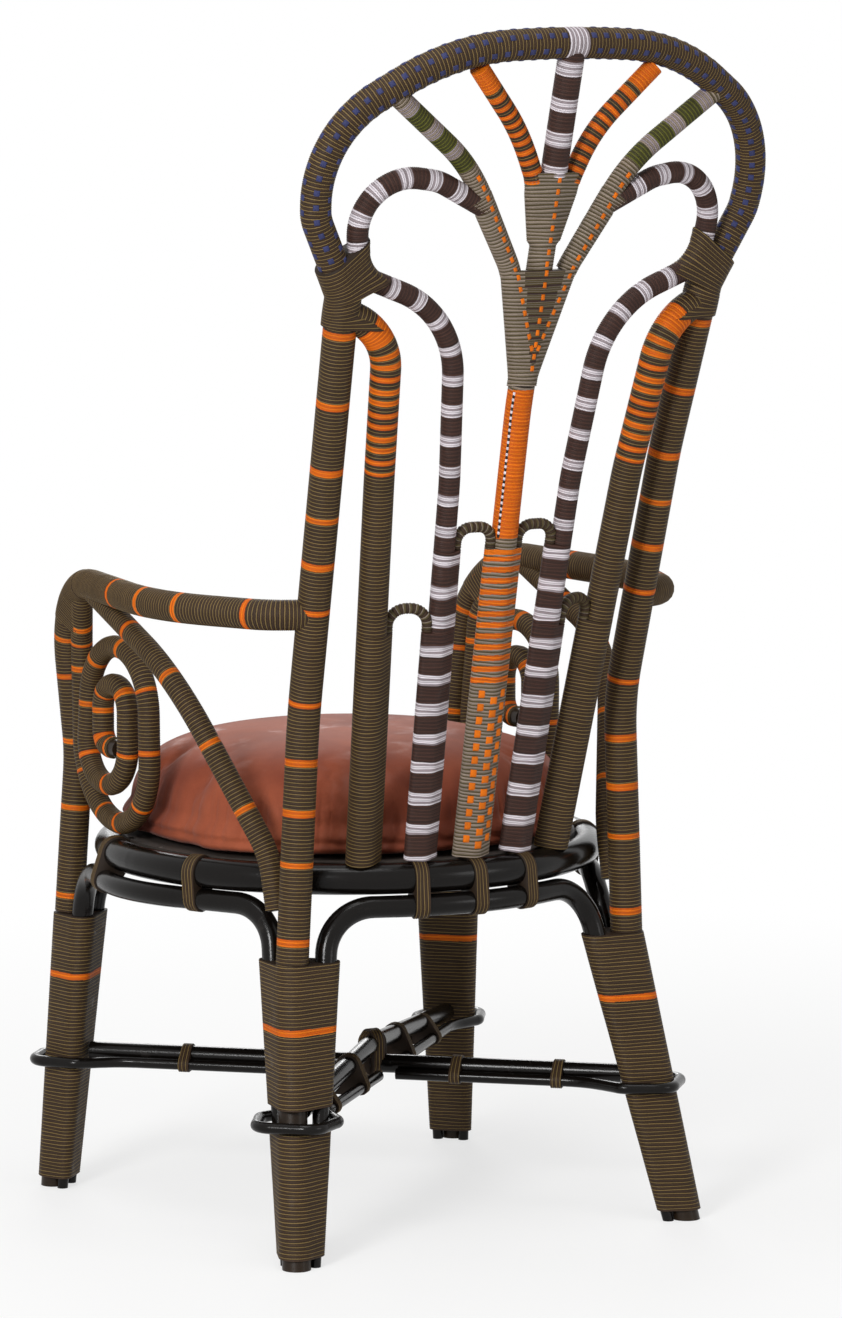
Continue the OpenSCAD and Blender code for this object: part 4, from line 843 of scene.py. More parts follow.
band = windPole("band", hoopPath, bandStart, half + crest["band"] / 2, reach + 0.4, whiteCord, width=2.5, seed=23)
finishWinding("crestBand", [band], "white_cord", "crest_band")

# Legs: one winding round a leg and the two arch tails beside it
legs = {"bare": 12, "top": 328, "slack": 1.4, "tail": 6, "tailTop": 12.5, "gap": 1.6, "rearGap": 14.5,
        "frontGap": 5, "loopGap": (146, 172), "stripeZ": 256, "stripe": 7.2}


def legPattern(turn, place, **_):
    tones = plainCord(turn)
    addOrange(tones, turn, np.abs(place[:, 2] - legs["stripeZ"]) < legs["stripe"] / 2)
    return tones


def legStations(route, radius, ways, topGap, low, high):
    foot, top = np.array(route[0][:3], float), atHeight(route, legs["top"])
    out = []
    for z in np.linspace(low, high, 12):
        t = z / legs["top"]
        heart = mixed(foot, top, t)
        circles = [(0, 0, radius + legs["slack"] + wrap)]
        tail = legs["tail"] + (legs["tailTop"] - legs["tail"]) * t
        for way in ways:
            near = radius + legs["tail"] + legs["gap"]
            away = radius + legs["tailTop"] + topGap
            d = near + (away - near) * t
            circles.append((way[0] * d, way[1] * d, tail + legs["slack"] + wrap))
        out.append((z, heart, (1, 0, 0), (0, 1, 0), circles))
    return out


rearWays, frontWays = [(-1, 0), (0, -1)], [(-1, 0), (0, 1)]
for name, route, radius, ways, node in (("Rear", post, posts["radius"], rearWays, "leg_wraps_rear"),
                                        ("Front", arm, arms["radius"], frontWays, "leg_wraps_front")):
    for mirror, side in ((False, "Left"), (True, "Right")):
        gap = name == "Rear" and side == "Left"       # a bare stretch shows above the loop on this leg alone
        below, above = legs["loopGap"]
        spans = [(legs["bare"], below), (above, legs["top"])] if gap else [(legs["bare"], legs["top"])]
        topGap = legs["rearGap"] if name == "Rear" else legs["frontGap"]
        wound = [windBundle("leg", legStations(route, radius, ways, topGap, *span), legPattern, 36, seed=31,
                            startAt=span[0], flip=mirror) for span in spans]
        finishWinding("legWinding" + name + side, wound, "brown_cord", node)
print("hoop and legs wound")


# Link hoops: thick plain cord
links = {"radius": 4, "width": 3.4, "depth": 1.0}


# Back poles and the link tails beside them
def bundleStations(path, radius, tails, low, high, count=14):
    out = []
    for s in np.linspace(low, high, count):
        x, y = axesAcross(path.along(s))
        circles = [(0, 0, radius + wrap)] + [(d, 0, links["radius"] + wrap) for d in tails]
        out.append((s, path.at(s), x, y, circles))
    return out


bands = {"white": 13.5, "places": [44, 78, 111, 145, 178, 210, 245, 280, 316, 352, 389, 425, 460, 495, 530, 564,
                                   599, 634, 670, 704, 738, 771, 806, 841, 875, 911, 948, 987]}


def banded(turn, far, **_):
    return whiteBands(turn, far, bands["places"], bands["white"])


# One wide orange band at the top, then a run of stripes
stileLook = {"wideAt": 45, "wide": 26, "first": 71, "last": 208, "pitch": 13.8, "stripe": 6.2}


def stilePattern(turn, far, **_):
    tones = plainCord(turn)
    inRun = (far > stileLook["first"] - 4) & (far < stileLook["last"] + 4)
    phase = (far - stileLook["first"] + stileLook["stripe"] / 2) % stileLook["pitch"]
    inWide = np.abs(far - stileLook["wideAt"]) < stileLook["wide"] / 2
    addOrange(tones, turn, (inRun & (phase < stileLook["stripe"])) | inWide)
    return tones


# Pole radii, and the heights where windings start and end
poles = {"hook": 9.75, "stile": 14.75, "centre": 12.5, "outerFrond": 9.25, "innerFrond": 8.75}
heights = {"innerLink": 791, "outerLink": 699, "foot": 436.8, "stileFoot": 433.2, "palm": 974,
           "frondTop": 1206}
hookOut, stileOut, centreOut, frondOut, innerOut = (poles[n] + wrap for n in poles)
hookInner, hookOuter = (hookPath.whereHeight(heights[n], True) for n in ("innerLink", "outerLink"))
hookEnd = hookPath.whereHeight(heights["foot"], True)
stileSplit, stileEnd = (stilePath.whereHeight(heights[n], True) for n in ("outerLink", "stileFoot"))
hookMid = bundleStations(hookPath, poles["hook"], [-toHook], hookInner, hookOuter)
hookLow = bundleStations(hookPath, poles["hook"], [-toHook, toHook], hookOuter, hookEnd, 30)
stileLow = bundleStations(stilePath, poles["stile"], [-toStile], stileSplit, stileEnd, 30)
for mirror, side in ((False, "Left"), (True, "Right")):
    upper = windPole("hook", hookPath, 2, hookInner, hookOut, banded, 16, seed=41, flip=mirror)
    mid = windBundle("hookMid", hookMid, banded, 24, seed=42, startAt=hookInner, flip=mirror)
    low = windBundle("hookLow", hookLow, banded, 28, seed=43, startAt=hookOuter, flip=mirror)
    finishWinding("hookWinding" + side, [upper, mid, low], "dark_cord", "hook_wraps")
    upper = windPole("stile", stilePath, 2, stileSplit, stileOut, stilePattern, seed=44, flip=mirror)
    low = windBundle("stileLow", stileLow, stilePattern, 28, seed=45, startAt=stileSplit, flip=mirror)
    finishWinding("stileWinding" + side, [upper, low], "brown_cord", "stile_wraps")


# Centre pole, from the ring up to the hoop: orange by height, white bands by distance along it
centreLook = {"solid": (801, 968), "striped": (637, 781), "pitch": 12.6, "edge": (783, 789),
              "whiteAt": (923, 883, 844, 806), "white": 16}


def centreTop(turn, far, **_):
    return whiteBands(turn, far, centreLook["whiteAt"], centreLook["white"])


def between(z, span):
    return (z > span[0]) & (z < span[1])


def centreMiddle(turn, place, **_):
    tones = greyCord(turn)
    addOrange(tones, turn, between(place[:, 2], centreLook["solid"]))
    return tones


def centreLow(turn, place, **_):
    z, run, pitch = place[:, 2], centreLook["striped"], centreLook["pitch"]
    tones = greyCord(turn)
    addOrange(tones, turn, between(z, run) & ((z - run[0]) % pitch < pitch / 2))
    tones[between(z, centreLook["edge"])] = pick["orange"]
    return tones


centreFoot, centreSplit, centrePalm, frondTop = (centrePath.whereHeight(heights[n])
                                                 for n in ("foot", "innerLink", "palm", "frondTop"))
lowStations = bundleStations(centrePath, poles["centre"], [-toCentre, toCentre], centreFoot, centreSplit, 30)
centreMeshes = [
    windBundle("centreLow", lowStations, centreLow, sides=44, seed=51),
    windPole("centreMid", centrePath, centreSplit, centrePalm, centreOut, centreMiddle, seed=52),
    windPole("centreTop", centrePath, frondTop, centrePath.length - 1, centreOut, centreTop, seed=53)]


# Where both inner fronds leave the centre pole; each starts as a long taper of a small radius
binding = {"span": (1099, 1208), "taper": 2.5}


def frondStations():
    out = []
    for z in np.linspace(*binding["span"], 20):
        heart = atHeight(centre, z)
        circles = [(0, 0, centreOut)]
        if z > frondFoot[2]:
            t = (z - frondFoot[2]) / (frondJoin[2] - frondFoot[2])
            if t < 1:
                p = mixed(frondFoot, frondJoin, t)
                r = binding["taper"] + (poles["innerFrond"] - binding["taper"]) * t
            else:
                p, r = innerPath.at(innerPath.whereHeight(z)), poles["innerFrond"]
            circles += [(p[0], p[1] - heart[1], r + wrap), (-p[0], p[1] - heart[1], r + wrap)]
        out.append((z, heart, (1, 0, 0), (0, 1, 0), circles))
    return out


centreMeshes.append(windBundle("frondBinding", frondStations(), greyCord, sides=36, seed=54))
finishWinding("centreWinding", centreMeshes, "grey_cord", "centre_wrap")

stitch = {"length": 6.4, "width": 4.2, "period": 13.2, "square": 8.6, "squarePeriod": 15.2, "squareAside": 13.5,
          "squares": (624, 446), "dashes": (1108, 1202), "twist": 3.4, "twisted": (804, 966)}


# Rearmost point of a bundle's hull at a distance to the side of its middle
def rearOf(circles, x):
    flat, _ = hullOutline(circles, 160)
    close = flat[np.abs(flat[:, 0] - x) < 1.6]
    return close[:, 1].max() if len(close) else flat[:, 1].max()


centreStitches = []
for aim in (1, 0, -1):      # three columns of squares, the middle one half a period off
    high, low = stitch["squares"]
    for z in np.arange(high - (0 if aim else stitch["squarePeriod"] / 2), low, -stitch["squarePeriod"]):
        s = centrePath.whereHeight(z)
        x = aim * stitch["squareAside"]
        y = rearOf([(0, 0, centreOut)] + [(d, 0, links["radius"] + wrap) for d in (toCentre, -toCentre)], x)
        centreStitches.append((centrePath.at(s) + [x, y, 0], centrePath.along(s), (aim * 0.3, 1, 0),
                               stitch["square"], stitch["square"] - abs(aim) * 1.2, 30, "orange"))
for z in np.arange(*stitch["dashes"], stitch["period"]):       # dashes up the middle of the frond binding
    heart = atHeight(centre, z)
    centreStitches.append((heart + [0, centreOut, 0], centrePath.along(centrePath.whereHeight(z)), (0, 1, 0),
                           stitch["length"], stitch["width"], 15, "orange"))
seamAt = unit([0.86, 0.5, 0])       # a twisted black and white cord lies along this side of the orange stretch
for k, z in enumerate(np.arange(*stitch["twisted"], stitch["twist"])):
    heart = atHeight(centre, z)
    centreStitches.append((heart + seamAt * (centreOut + 0.2), unit([0, 0.3, 1]), seamAt, 3.6, 2.6, 15,
                           "white" if k % 2 else "night"))
finishWinding("centreStitches", [stitchMesh("stitches", centreStitches, 56)], "grey_cord", "centre_wrap")


palm = {"low": 972, "high": 1101, "darkFrom": 985, "darkTo": 1100, "darkWide": 26, "over": 1.8 + wrap,
        "middleDashes": (1098, 980), "sideDashes": (1094, 1010), "meet": 1003, "spread": (35, 97)}


# Between its two fronds the palm is darker
def palmPattern(turn, place, facing, **_):
    t = np.clip((place[:, 2] - palm["darkFrom"]) / (palm["darkTo"] - palm["darkFrom"]), 0, 1)
    inside = (np.abs(place[:, 0]) < palm["darkWide"] * t) & (np.abs(facing) < 70)
    tones = np.where(inside & (turn % 4 == 1), pick["umber"], greyCord(turn))
    return np.where(inside & (turn % 2 == 0), pick["moss"], tones)


# The centre pole and both outer fronds at a height
def palmCircles(z, heart):
    frond = atHeight(outerFrond, max(z, 975))
    sides = [(side * frond[0], frond[1] - heart[1], poles["outerFrond"] + palm["over"]) for side in (-1, 1)]
    return [(0, 0, poles["centre"] + palm["over"])] + sides


def palmStations():
    out = []
    for z in np.linspace(palm["low"], palm["high"], 16):
        heart = atHeight(centre, z)
        circles = palmCircles(z, heart)
        out.append((z, heart, (1, 0, 0), (0, 1, 0), circles if z > 980 else circles[:1]))
    return out


finishWinding("palmWinding", [windBundle("palm", palmStations(), palmPattern, 60, seed=55)], "grey_cord",
              "palm_lashing")
palmStitches = []
for aim in (1, 0, -1):      # three lines of dashes that run together at the foot of the palm
    aside, rise = palm["spread"]
    for z in np.arange(*palm["sideDashes" if aim else "middleDashes"], -stitch["period"]):
        heart = atHeight(centre, z)
        x = aim * aside * (z - palm["meet"]) / rise
        palmStitches.append((heart + [x, rearOf(palmCircles(z, heart), x), 0], (aim * 0.35, 0.2, 1), (0, 1, 0),
                             stitch["length"], stitch["width"], 25, "orange"))
finishWinding("palmStitches", [stitchMesh("stitches", palmStitches, 57)], "grey_cord", "palm_lashing")

# Fronds: bands of grey and green near the hoop on the outer ones, orange stripes on the inner ones
frondBands = [(16, "grey"), (25, "green"), (18, "grey"), (22, "green"), (14, "grey"), (20, "green")]
fronds = {"clear": 15, "tip": (1099, 1186), "outerFrom": 1176, "dashFrom": 1104, "solid": 34, "pitch": 12.8}


def outerPattern(turn, far, place, **_):
    tones = greyCord(turn)
    fromHoop = outerPath.length - far
    start = fronds["clear"]
    for width, name in frondBands:
        hit = (fromHoop >= start) & (fromHoop < start + width)
        tones[hit] = twoTone(turn[hit], name, "silver" if name == "grey" else "fern")
        start += width
    return tones


def innerPattern(turn, far, **_):
    fromHoop = innerPath.length - far
    tones = plainCord(turn)
    solid, pitch = fronds["solid"], fronds["pitch"]
    addOrange(tones, turn, (fromHoop < solid) | ((fromHoop - solid) % pitch > pitch / 2))
    return tones


# The frond's winding takes in the tip of the hook pole that lies against it
def tipStations():
    out = []
    low, high = (outerPath.whereHeight(z) for z in fronds["tip"])
    for s in np.linspace(low, high, 24):
        t, p = outerPath.along(s), outerPath.at(s)
        x, y = axesAcross(t)
        circles = [(0, 0, frondOut + 0.4)]
        near = hookPath.points[:60] - p
        flat = near[np.abs(near @ t) < 1.6]
        circles += [(d @ x, d @ y, hookOut) for d in flat if 1 < np.linalg.norm(d) < 22]
        if len(flat) == 0:
            grow = (s - low) / (high - low)
            circles.append((4 * grow, 0, frondOut))
        out.append((s, p, x, y, circles))
    return out


frondMeshes = []
tip, outerFrom = tipStations(), outerPath.whereHeight(fronds["outerFrom"])
for mirror in (False, True):
    frondMeshes.append(windPole("outerFrond", outerPath, outerFrom, outerPath.length - 2, frondOut, outerPattern,
                                16, seed=61, flip=mirror))
    frondMeshes.append(windBundle("frondTip", tip, outerPattern, 26, seed=62, startAt=tip[0][0], flip=mirror))
    frondMeshes.append(windPole("innerFrond", innerPath, 14, innerPath.length, innerOut, innerPattern, 16, seed=63,
                                flip=mirror))
frondStitches = []
bandsEnd = outerPath.length - fronds["clear"] - sum(w for w, _ in frondBands)
for s in np.arange(outerPath.whereHeight(fronds["dashFrom"]), bandsEnd - 4, stitch["period"]):
    t = outerPath.along(s)
    out = unit(np.array([0, 1, 0]) - t * t[1])
    frondStitches.append((outerPath.at(s) + out * (frondOut + 0.5), t, out, stitch["length"], stitch["width"],
                          13, "orange"))
frondMeshes += [stitchMesh("stitches", frondStitches, 58), stitchMesh("stitches", frondStitches, 59, True)]
finishWinding("frondWindings", frondMeshes, "grey_cord", "frond_wraps")


def linkCord(turn, **_):
    return twoTone(turn, "brown", "moss")


linkMeshes = []
for route, split in ((innerLink, heights["innerLink"]), (outerLink, heights["outerLink"])):
    path = Path(route)
    a, b = path.whereHeight(split), path.whereHeight(split, True)
    for mirror in (False, True):
        linkMeshes.append(windPole("link", path, a, b, links["radius"] + wrap, linkCord, 14, links["width"],
                                   links["depth"], seed=64, flip=mirror))
finishWinding("linkWindings", linkMeshes, "brown_cord", "link_wraps")
print("back wound")


# A short strap across a bundle
def strapStations(heart, ahead, x, y, circles, width):
    heart, ahead = np.asarray(heart, float), np.asarray(ahead, float)
    return [(s, heart + ahead * s, x, y, circles) for s in np.linspace(-width / 2, width / 2, 3)]


# Ties bind the arches, which bend at one height, up to the ring
ties = {"angles": [-14, 22, 76, 90, 104, 158, 194, 257, 283], "width": 8 * cord, "ring": 17.5, "arch": 12.5,
        "drop": 30.3, "slack": 0.4}
archZ = 384.7


# Middle of the round bend, of radius r, that an arch makes at b on its way from a to c
def bendMiddle(a, b, c, r):
    a, b, c = (np.asarray(p[:3], float) for p in (a, b, c))
    u, v = unit(a - b), unit(c - b)
    return b + unit(u + v) * r / math.sin(math.acos(float(u @ v)) / 2)


# Where the tail of an arch that leans beside a leg comes to the height of the bends
def tailTop(leg, radius, topGap, way):
    way = np.array(way)
    near = np.array(leg[0][:3], float) + way * (radius + legs["tail"] + legs["gap"])
    away = atHeight(leg, legs["top"]) + way * (radius + legs["tailTop"] + topGap)
    return mixed(near, away, archZ / legs["top"])


rearLeg, frontLeg = (post, posts["radius"], legs["rearGap"]), (arm, arms["radius"], legs["frontGap"])
backTop, frontTop = tailTop(*rearLeg, (-1, 0, 0)), tailTop(*frontLeg, (-1, 0, 0))
sideBack, sideFront = tailTop(*rearLeg, (0, -1, 0)), tailTop(*frontLeg, (0, 1, 0))
archBends = {"back": (backTop, (0, 250, archZ), backTop * [-1, 1, 1], 278),
             "front": (frontTop, (0, -363, archZ), frontTop * [-1, 1, 1], 230),
             "left": (sideFront, (307, -40, archZ), sideBack, 200)}
archMiddles = {name: (bendMiddle(*bend), bend[3]) for name, bend in archBends.items()}
archMiddles["right"] = (archMiddles["left"][0] * [-1, 1, 1], 200)


# How far outside the ring an arch's bend runs at an angle
def archShift(angle):
    if 45 < angle < 135:
        name = "back"
    elif 225 < angle < 315:
        name = "front"
    else:
        name = "right" if 90 < angle < 270 else "left"
    m, r = archMiddles[name]
    a = math.radians(angle)
    c, d = np.array([m[0], m[1] - ring["y"]]), np.array([math.cos(a), math.sin(a)])
    return float(d @ c + math.sqrt(r * r - c @ c + (d @ c) ** 2) - ring["radius"])


tieMeshes = []
for angle in ties["angles"]:
    a = math.radians(angle)
    out = np.array([math.cos(a), math.sin(a), 0])
    circles = [(0, 0, ties["ring"] + ties["slack"] + cord),
               (archShift(angle % 360), -ties["drop"], ties["arch"] + ties["slack"] + cord)]
    heart = out * ring["radius"] + [0, ring["y"], ring["z"]]
    stations = strapStations(heart, np.cross(out, (0, 0, 1)), out, (0, 0, 1), circles, ties["width"])
    tieMeshes.append(windBundle("tie", stations, plainCord, sides=40, seed=71))
finishWinding("ringTies", tieMeshes, "brown_cord", "ring_ties")

# Bands hold each stretcher to the two sides of the level loop round its leg; the upper one rises to the crossing
stretchers = {"z": 163, "upperZ": 187, "loopZ": 154, "reach": 285, "bar": 11, "loop": 6.5, "aside": 16,
              "slack": 0.3, "upperSlack": 0.8, "places": (102, 222), "width": 6 * cord}
bandMeshes = []
barZ, loopZ, aside = stretchers["z"], stretchers["loopZ"], stretchers["aside"]
loopOut = stretchers["loop"] + cord + stretchers["slack"]
armLeg, postLeg = atHeight(arm, barZ), atHeight(post, barZ)
for leg, upper in ((armLeg, 0), (armLeg * [-1, 1, 1], 1), (postLeg * [-1, 1, 1], 0), (postLeg, 1)):
    u = unit([leg[0], leg[1], 0])
    across = np.cross((0, 0, 1), u)
    for place in stretchers["places"]:
        climb = (stretchers["upperZ"] - barZ) * (1 - place / stretchers["reach"])
        drop = barZ - loopZ + (climb if upper else 0)
        heart = u * place + [0, 0, loopZ + drop]
        barOut = stretchers["bar"] + cord + stretchers["slack"] + upper * stretchers["upperSlack"]
        circles = [(0, 0, barOut), (aside, -drop, loopOut), (-aside, -drop, loopOut)]
        stations = strapStations(heart, np.cross(across, (0, 0, 1)), across, (0, 0, 1), circles,
                                 stretchers["width"])
        bandMeshes.append(windBundle("band", stations, plainCord, sides=36, seed=72))
finishWinding("stretcherTies", bandMeshes, "brown_cord", "stretcher_ties")

# Two straps at right angles round the crossing, one over the other
crossing = {"radius": 15.5, "rise": 24, "over": 1.2, "width": 7 * cord}
crossMeshes = []
for ahead, x, extra in (((0, 1, 0), (-1, 0, 0), 0.0), ((1, 0, 0), (0, 1, 0), crossing["over"])):
    circles = [(0, y, crossing["radius"] + extra) for y in (0, crossing["rise"])]
    stations = strapStations((0, 0, barZ), ahead, x, (0, 0, 1), circles, crossing["width"])
    crossMeshes.append(windBundle("crossing", stations, plainCord, sides=36, seed=73))
finishWinding("crossingLashing", crossMeshes, "brown_cord", "crossing_lashing")

# Shoulder lashing: round the joint of post and hoop, and what runs close beside it of the hook and the stile
shoulder = {"z": 1083, "below": 40, "above": 36, "radius": 21.3, "lean": 38, "near": 46,
            "hook": (hookOut + 2.6, (190, 330)), "stile": (stileOut + 1.6, (0, 40))}
shoulderPath = Path([*post[2:4], (234, 335, shoulder["z"], 10), hoop[1], hoop[2]])
shoulderAt = shoulderPath.whereHeight(shoulder["z"])


# Sections that lean more and more towards the middle of the chair, round all that passes through them
def shoulderStations():
    out = []
    for s in np.linspace(shoulderAt - shoulder["below"], shoulderAt + shoulder["above"], 26):
        p = shoulderPath.at(s)
        grow = (s - shoulderAt + shoulder["below"]) / (shoulder["below"] + shoulder["above"])
        lean = math.radians(shoulder["lean"]) * min(1, grow * 1.3)
        t = unit([math.sin(lean), 0.2, math.cos(lean)])
        x, y = axesAcross(t)
        circles = [(0, 0, shoulder["radius"])]
        for path, (radius, span) in ((hookPath, shoulder["hook"]), (stilePath, shoulder["stile"])):
            part = path.points[(path.far > span[0]) & (path.far < span[1])] - p
            flat = part[np.abs(part @ t) < 1.2]
            circles += [(d @ x, d @ y, radius) for d in flat if np.linalg.norm(d) < shoulder["near"]]
        out.append((s, p, x, y, circles))
    return out


lashings = [windBundle("shoulder", shoulderStations(), plainCord, 48, seed=81, flip=mirror)
            for mirror in (False, True)]
finishWinding("shoulderLashings", lashings, "brown_cord", "shoulder_lashings")

# Knuckle lashing: round the arm's bend, and the scroll where it runs close beside it
knuckle = {"place": (286, -190, 727), "before": 52, "after": 30, "arm": 17.9, "scroll": 12.9, "near": 34}


def knuckleStations():
    out = []
    bendEnd = armPath.far[np.argmin(np.linalg.norm(armPath.points - knuckle["place"], axis=1))]
    for s in np.linspace(bendEnd - knuckle["before"], bendEnd + knuckle["after"], 20):
        p = armPath.at(s)
        x, y = axesAcross(armPath.along(s))
        d = scrollPath.points[np.argmin(np.linalg.norm(scrollPath.points[:90] - p, axis=1))] - p
        circles = [(0, 0, knuckle["arm"])]
        if np.linalg.norm(d) < knuckle["near"]:
            circles.append((d @ x, d @ y, knuckle["scroll"]))
        out.append((s, p, x, y, circles))
    return out


lashings = [windBundle("knuckle", knuckleStations(), plainCord, 34, seed=84, flip=mirror)
            for mirror in (False, True)]
finishWinding("knuckleLashings", lashings, "brown_cord", "knuckle_lashings")
print("ties and lashings done")

# Cushion: crowned, gathered round the side, with a lip and a sewn groove along its lower edge
cushion = {"radius": 252, "corner": 15, "height": 117, "seam": 20, "brim": 0.2, "y": -55, "inset": 5,
           "voxel": 0.005, "grow": 0.009, "lip": 2.5, "groove": 3.5, "grooveAt": 17, "grooveWide": 4.5,
           "tuck": 1.6, "gathers": 10}
cushionBox = [np.array(v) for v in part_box("seat_cushion")]


def eased(value, low, high):
    t = np.clip((value - low) / (high - low), 0, 1)
    return t * t * (3 - 2 * t)


# Widest reach of the cushion in a direction: fuller where no scroll or back pole stands beside it
def cushionReach(a):
    c, s = np.abs(np.cos(a)), np.sin(a)
    return cushion["radius"] + cushion["corner"] * (1 - eased(c, 0.92, 0.99)) * (1 - eased(s, 0.66, 0.84))


# Rings of points from the lower edge up over the crown; the first part of them, the brim, stands nearly straight
def cushionPoints(rings, sides, inset):
    verts = []
    height, seam, brim = cushion["height"] - inset, cushion["seam"], cushion["brim"]
    for i in range(rings):
        t = i / (rings - 1)
        up = math.pi / 2 * max(0.0, (t - brim) / (1 - brim))
        bulge = 0.95 + 0.25 * t if t < brim else max(0.0, math.cos(up)) ** 0.6
        h = seam * t / brim if t < brim else seam + (height - seam) * math.sin(up) ** 0.8
        for j in range(sides):
            a = j * 2 * math.pi / sides
            r = float(cushionReach(a) - inset) * bulge
            verts.append((r * math.cos(a), r * math.sin(a), h))
    return verts


def cushionMesh(lift):
    rings, sides = 36, 144
    verts = cushionPoints(rings, sides, cushion["inset"])
    base = len(verts)
    rim = base - sides
    verts += [(0, 0, 0), (0, 0, verts[-1][2])]
    around = [(j, (j + 1) % sides) for j in range(sides)]
    faces = [(i + a, i + b, i + sides + b, i + sides + a) for i in range(0, rim, sides) for a, b in around]
    faces += [(base, b, a) for a, b in around]
    faces += [(base + 1, rim + a, rim + b) for a, b in around]
    mesh = bpy.data.meshes.new("seatCushion")
    places = [(x * mm, (y + cushion["y"] - chair["middleY"]) * mm, z * mm + lift) for x, y, z in verts]
    mesh.from_pydata(places, [], faces)
    tidy = bmesh.new()
    tidy.from_mesh(mesh)
    bmesh.ops.remove_doubles(tidy, verts=tidy.verts, dist=1e-5)
    bmesh.ops.recalc_face_normals(tidy, faces=tidy.faces)
    tidy.to_mesh(mesh)
    tidy.free()
    return mesh


def pointsOf(mesh):
    co = np.zeros(len(mesh.vertices) * 3)
    mesh.vertices.foreach_get("co", co)
    return co.reshape(-1, 3)


# Cloth under pressure swells the cushion, no point by more than a limit; then it is smoothed once
def fillCushion(obj, lift):
    obj.data.remesh_voxel_size = cushion["voxel"]
    with bpy.context.temp_override(active_object=obj, object=obj, selected_objects=[obj]):
        bpy.ops.object.voxel_remesh()
    before = pointsOf(obj.data)
    cloth = obj.modifiers.new("filling", "CLOTH")
    cloth.settings.use_pressure = True
    cloth.settings.uniform_pressure_force = 4
    cloth.settings.effector_weights.gravity = 0
    cloth.settings.quality = 5
    for number in range(1, 21):
        scene.frame_set(number)
    graph = bpy.context.evaluated_depsgraph_get()
    move = pointsOf(obj.evaluated_get(graph).data) - before
    reach = np.linalg.norm(move, axis=1)
    move *= np.minimum(1, cushion["grow"] / np.maximum(reach, 1e-9))[:, None]
    obj.modifiers.remove(cloth)
    scene.frame_set(1)
    after = before + move
    after[:, 2] = np.maximum(after[:, 2], lift)
    obj.data.vertices.foreach_set("co", after.ravel())
    finer = obj.modifiers.new("finer", "SUBSURF")
    finer.levels = finer.render_levels = 1
    graph = bpy.context.evaluated_depsgraph_get()
    fine = bpy.data.meshes.new_from_object(obj.evaluated_get(graph), depsgraph=graph)
    obj.modifiers.remove(finer)
    obj.data = fine


# Lip, groove and gathers
def dressCushion(mesh, lift):
    co, away = pointsOf(mesh), cushion["y"] - chair["middleY"]
    x, y, h = co[:, 0] / mm, co[:, 1] / mm - away, (co[:, 2] - lift) / mm
    a, r = np.arctan2(y, x), np.hypot(x, y)
    limit = cushionReach(a)
    r = np.minimum(r, limit)
    groove = cushion["groove"] * np.exp(-((h - cushion["grooveAt"]) / cushion["grooveWide"]) ** 2)
    lip = limit - cushion["lip"] - groove - cushion["tuck"] * np.maximum(0, 3 - h)
    near = eased(r, limit * 0.86, limit * 0.93) * (1 - eased(h, 20, 40))
    r = r * (1 - near) + lip * near
    # gathers run up the side from the seam and fade towards the crown, deepest at the back between the poles
    fade = eased(h, 6, 24) * (1 - eased(h, 40, 84)) * eased(r, limit * 0.55, limit * 0.8)
    behind = 0.25 + 0.75 * eased(np.sin(a), 0.1, 0.6)
    folds = np.abs(np.sin(a * 13 + 0.4 + 0.9 * np.sin(3 * a))) ** 0.6 + 0.5 * np.abs(np.sin(a * 31 + 1.7)) ** 0.8
    r = r - (1.5 - folds) * cushion["gathers"] * fade * behind
    co[:, 0], co[:, 1] = r * np.cos(a) * mm, (r * np.sin(a) + cushion["y"] - chair["middleY"]) * mm
    mesh.vertices.foreach_set("co", co.ravel())
    mesh.polygons.foreach_set("use_smooth", np.ones(len(mesh.polygons), bool))
    mesh.update()


def makeCushion():
    lift = cushionBox[0][2] + 0.0004
    obj = bpy.data.objects.new("seatCushion", cushionMesh(lift))
    scene.collection.objects.link(obj)
    fillCushion(obj, lift)
    dressCushion(obj.data, lift)
    obj.data.materials.clear()
    obj.data.materials.append(suede)
    return obj


seat = makeCushion()
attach(seat, "cushion")
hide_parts("seat_cushion")
print("cushion done")

# Floor, light and camera
studio = {"floor": tone(246, 246, 245), "fadeFrom": 0.5, "fadeTo": 2.2, "glow": 0.7, "world": 0.19,
          "floorHalf": 30, "floorZ": -0.0005}


# 1 where the camera sees it, straight, in a gloss or through glass, and 0 for other light
def addSight(tree):
    seen = tree.nodes.new("ShaderNodeLightPath").outputs
    either = addMath(tree, "ADD", seen["Is Camera Ray"], seen["Is Glossy Ray"])
    return addMath(tree, "MINIMUM", addMath(tree, "ADD", either, seen["Is Transmission Ray"]), 1)


def floorMaterial():
    material = bpy.data.materials.new("paleFloor")
    material.use_nodes = True
    tree = material.node_tree
    shader = tree.nodes["Principled BSDF"]
    shader.inputs["Base Color"].default_value = studio["floor"]
    shader.inputs["Roughness"].default_value = 0.9
    shader.inputs["Specular IOR Level"].default_value = 0.1
    glow = tree.nodes.new("ShaderNodeEmission")
    place = tree.nodes.new("ShaderNodeTexCoord").outputs["Object"]
    length = tree.nodes.new("ShaderNodeVectorMath")
    length.operation = "LENGTH"
    tree.links.new(place, length.inputs[0])
    fade = addRange(tree, length.outputs["Value"], studio["fadeFrom"], studio["fadeTo"], studio["glow"], 1)
    mix = tree.nodes.new("ShaderNodeMixShader")
    tree.links.new(addMath(tree, "MULTIPLY", fade, addSight(tree)), mix.inputs[0])
    tree.links.new(shader.outputs[0], mix.inputs[1])
    tree.links.new(glow.outputs[0], mix.inputs[2])
    tree.links.new(mix.outputs[0], tree.nodes["Material Output"].inputs["Surface"])
    return material


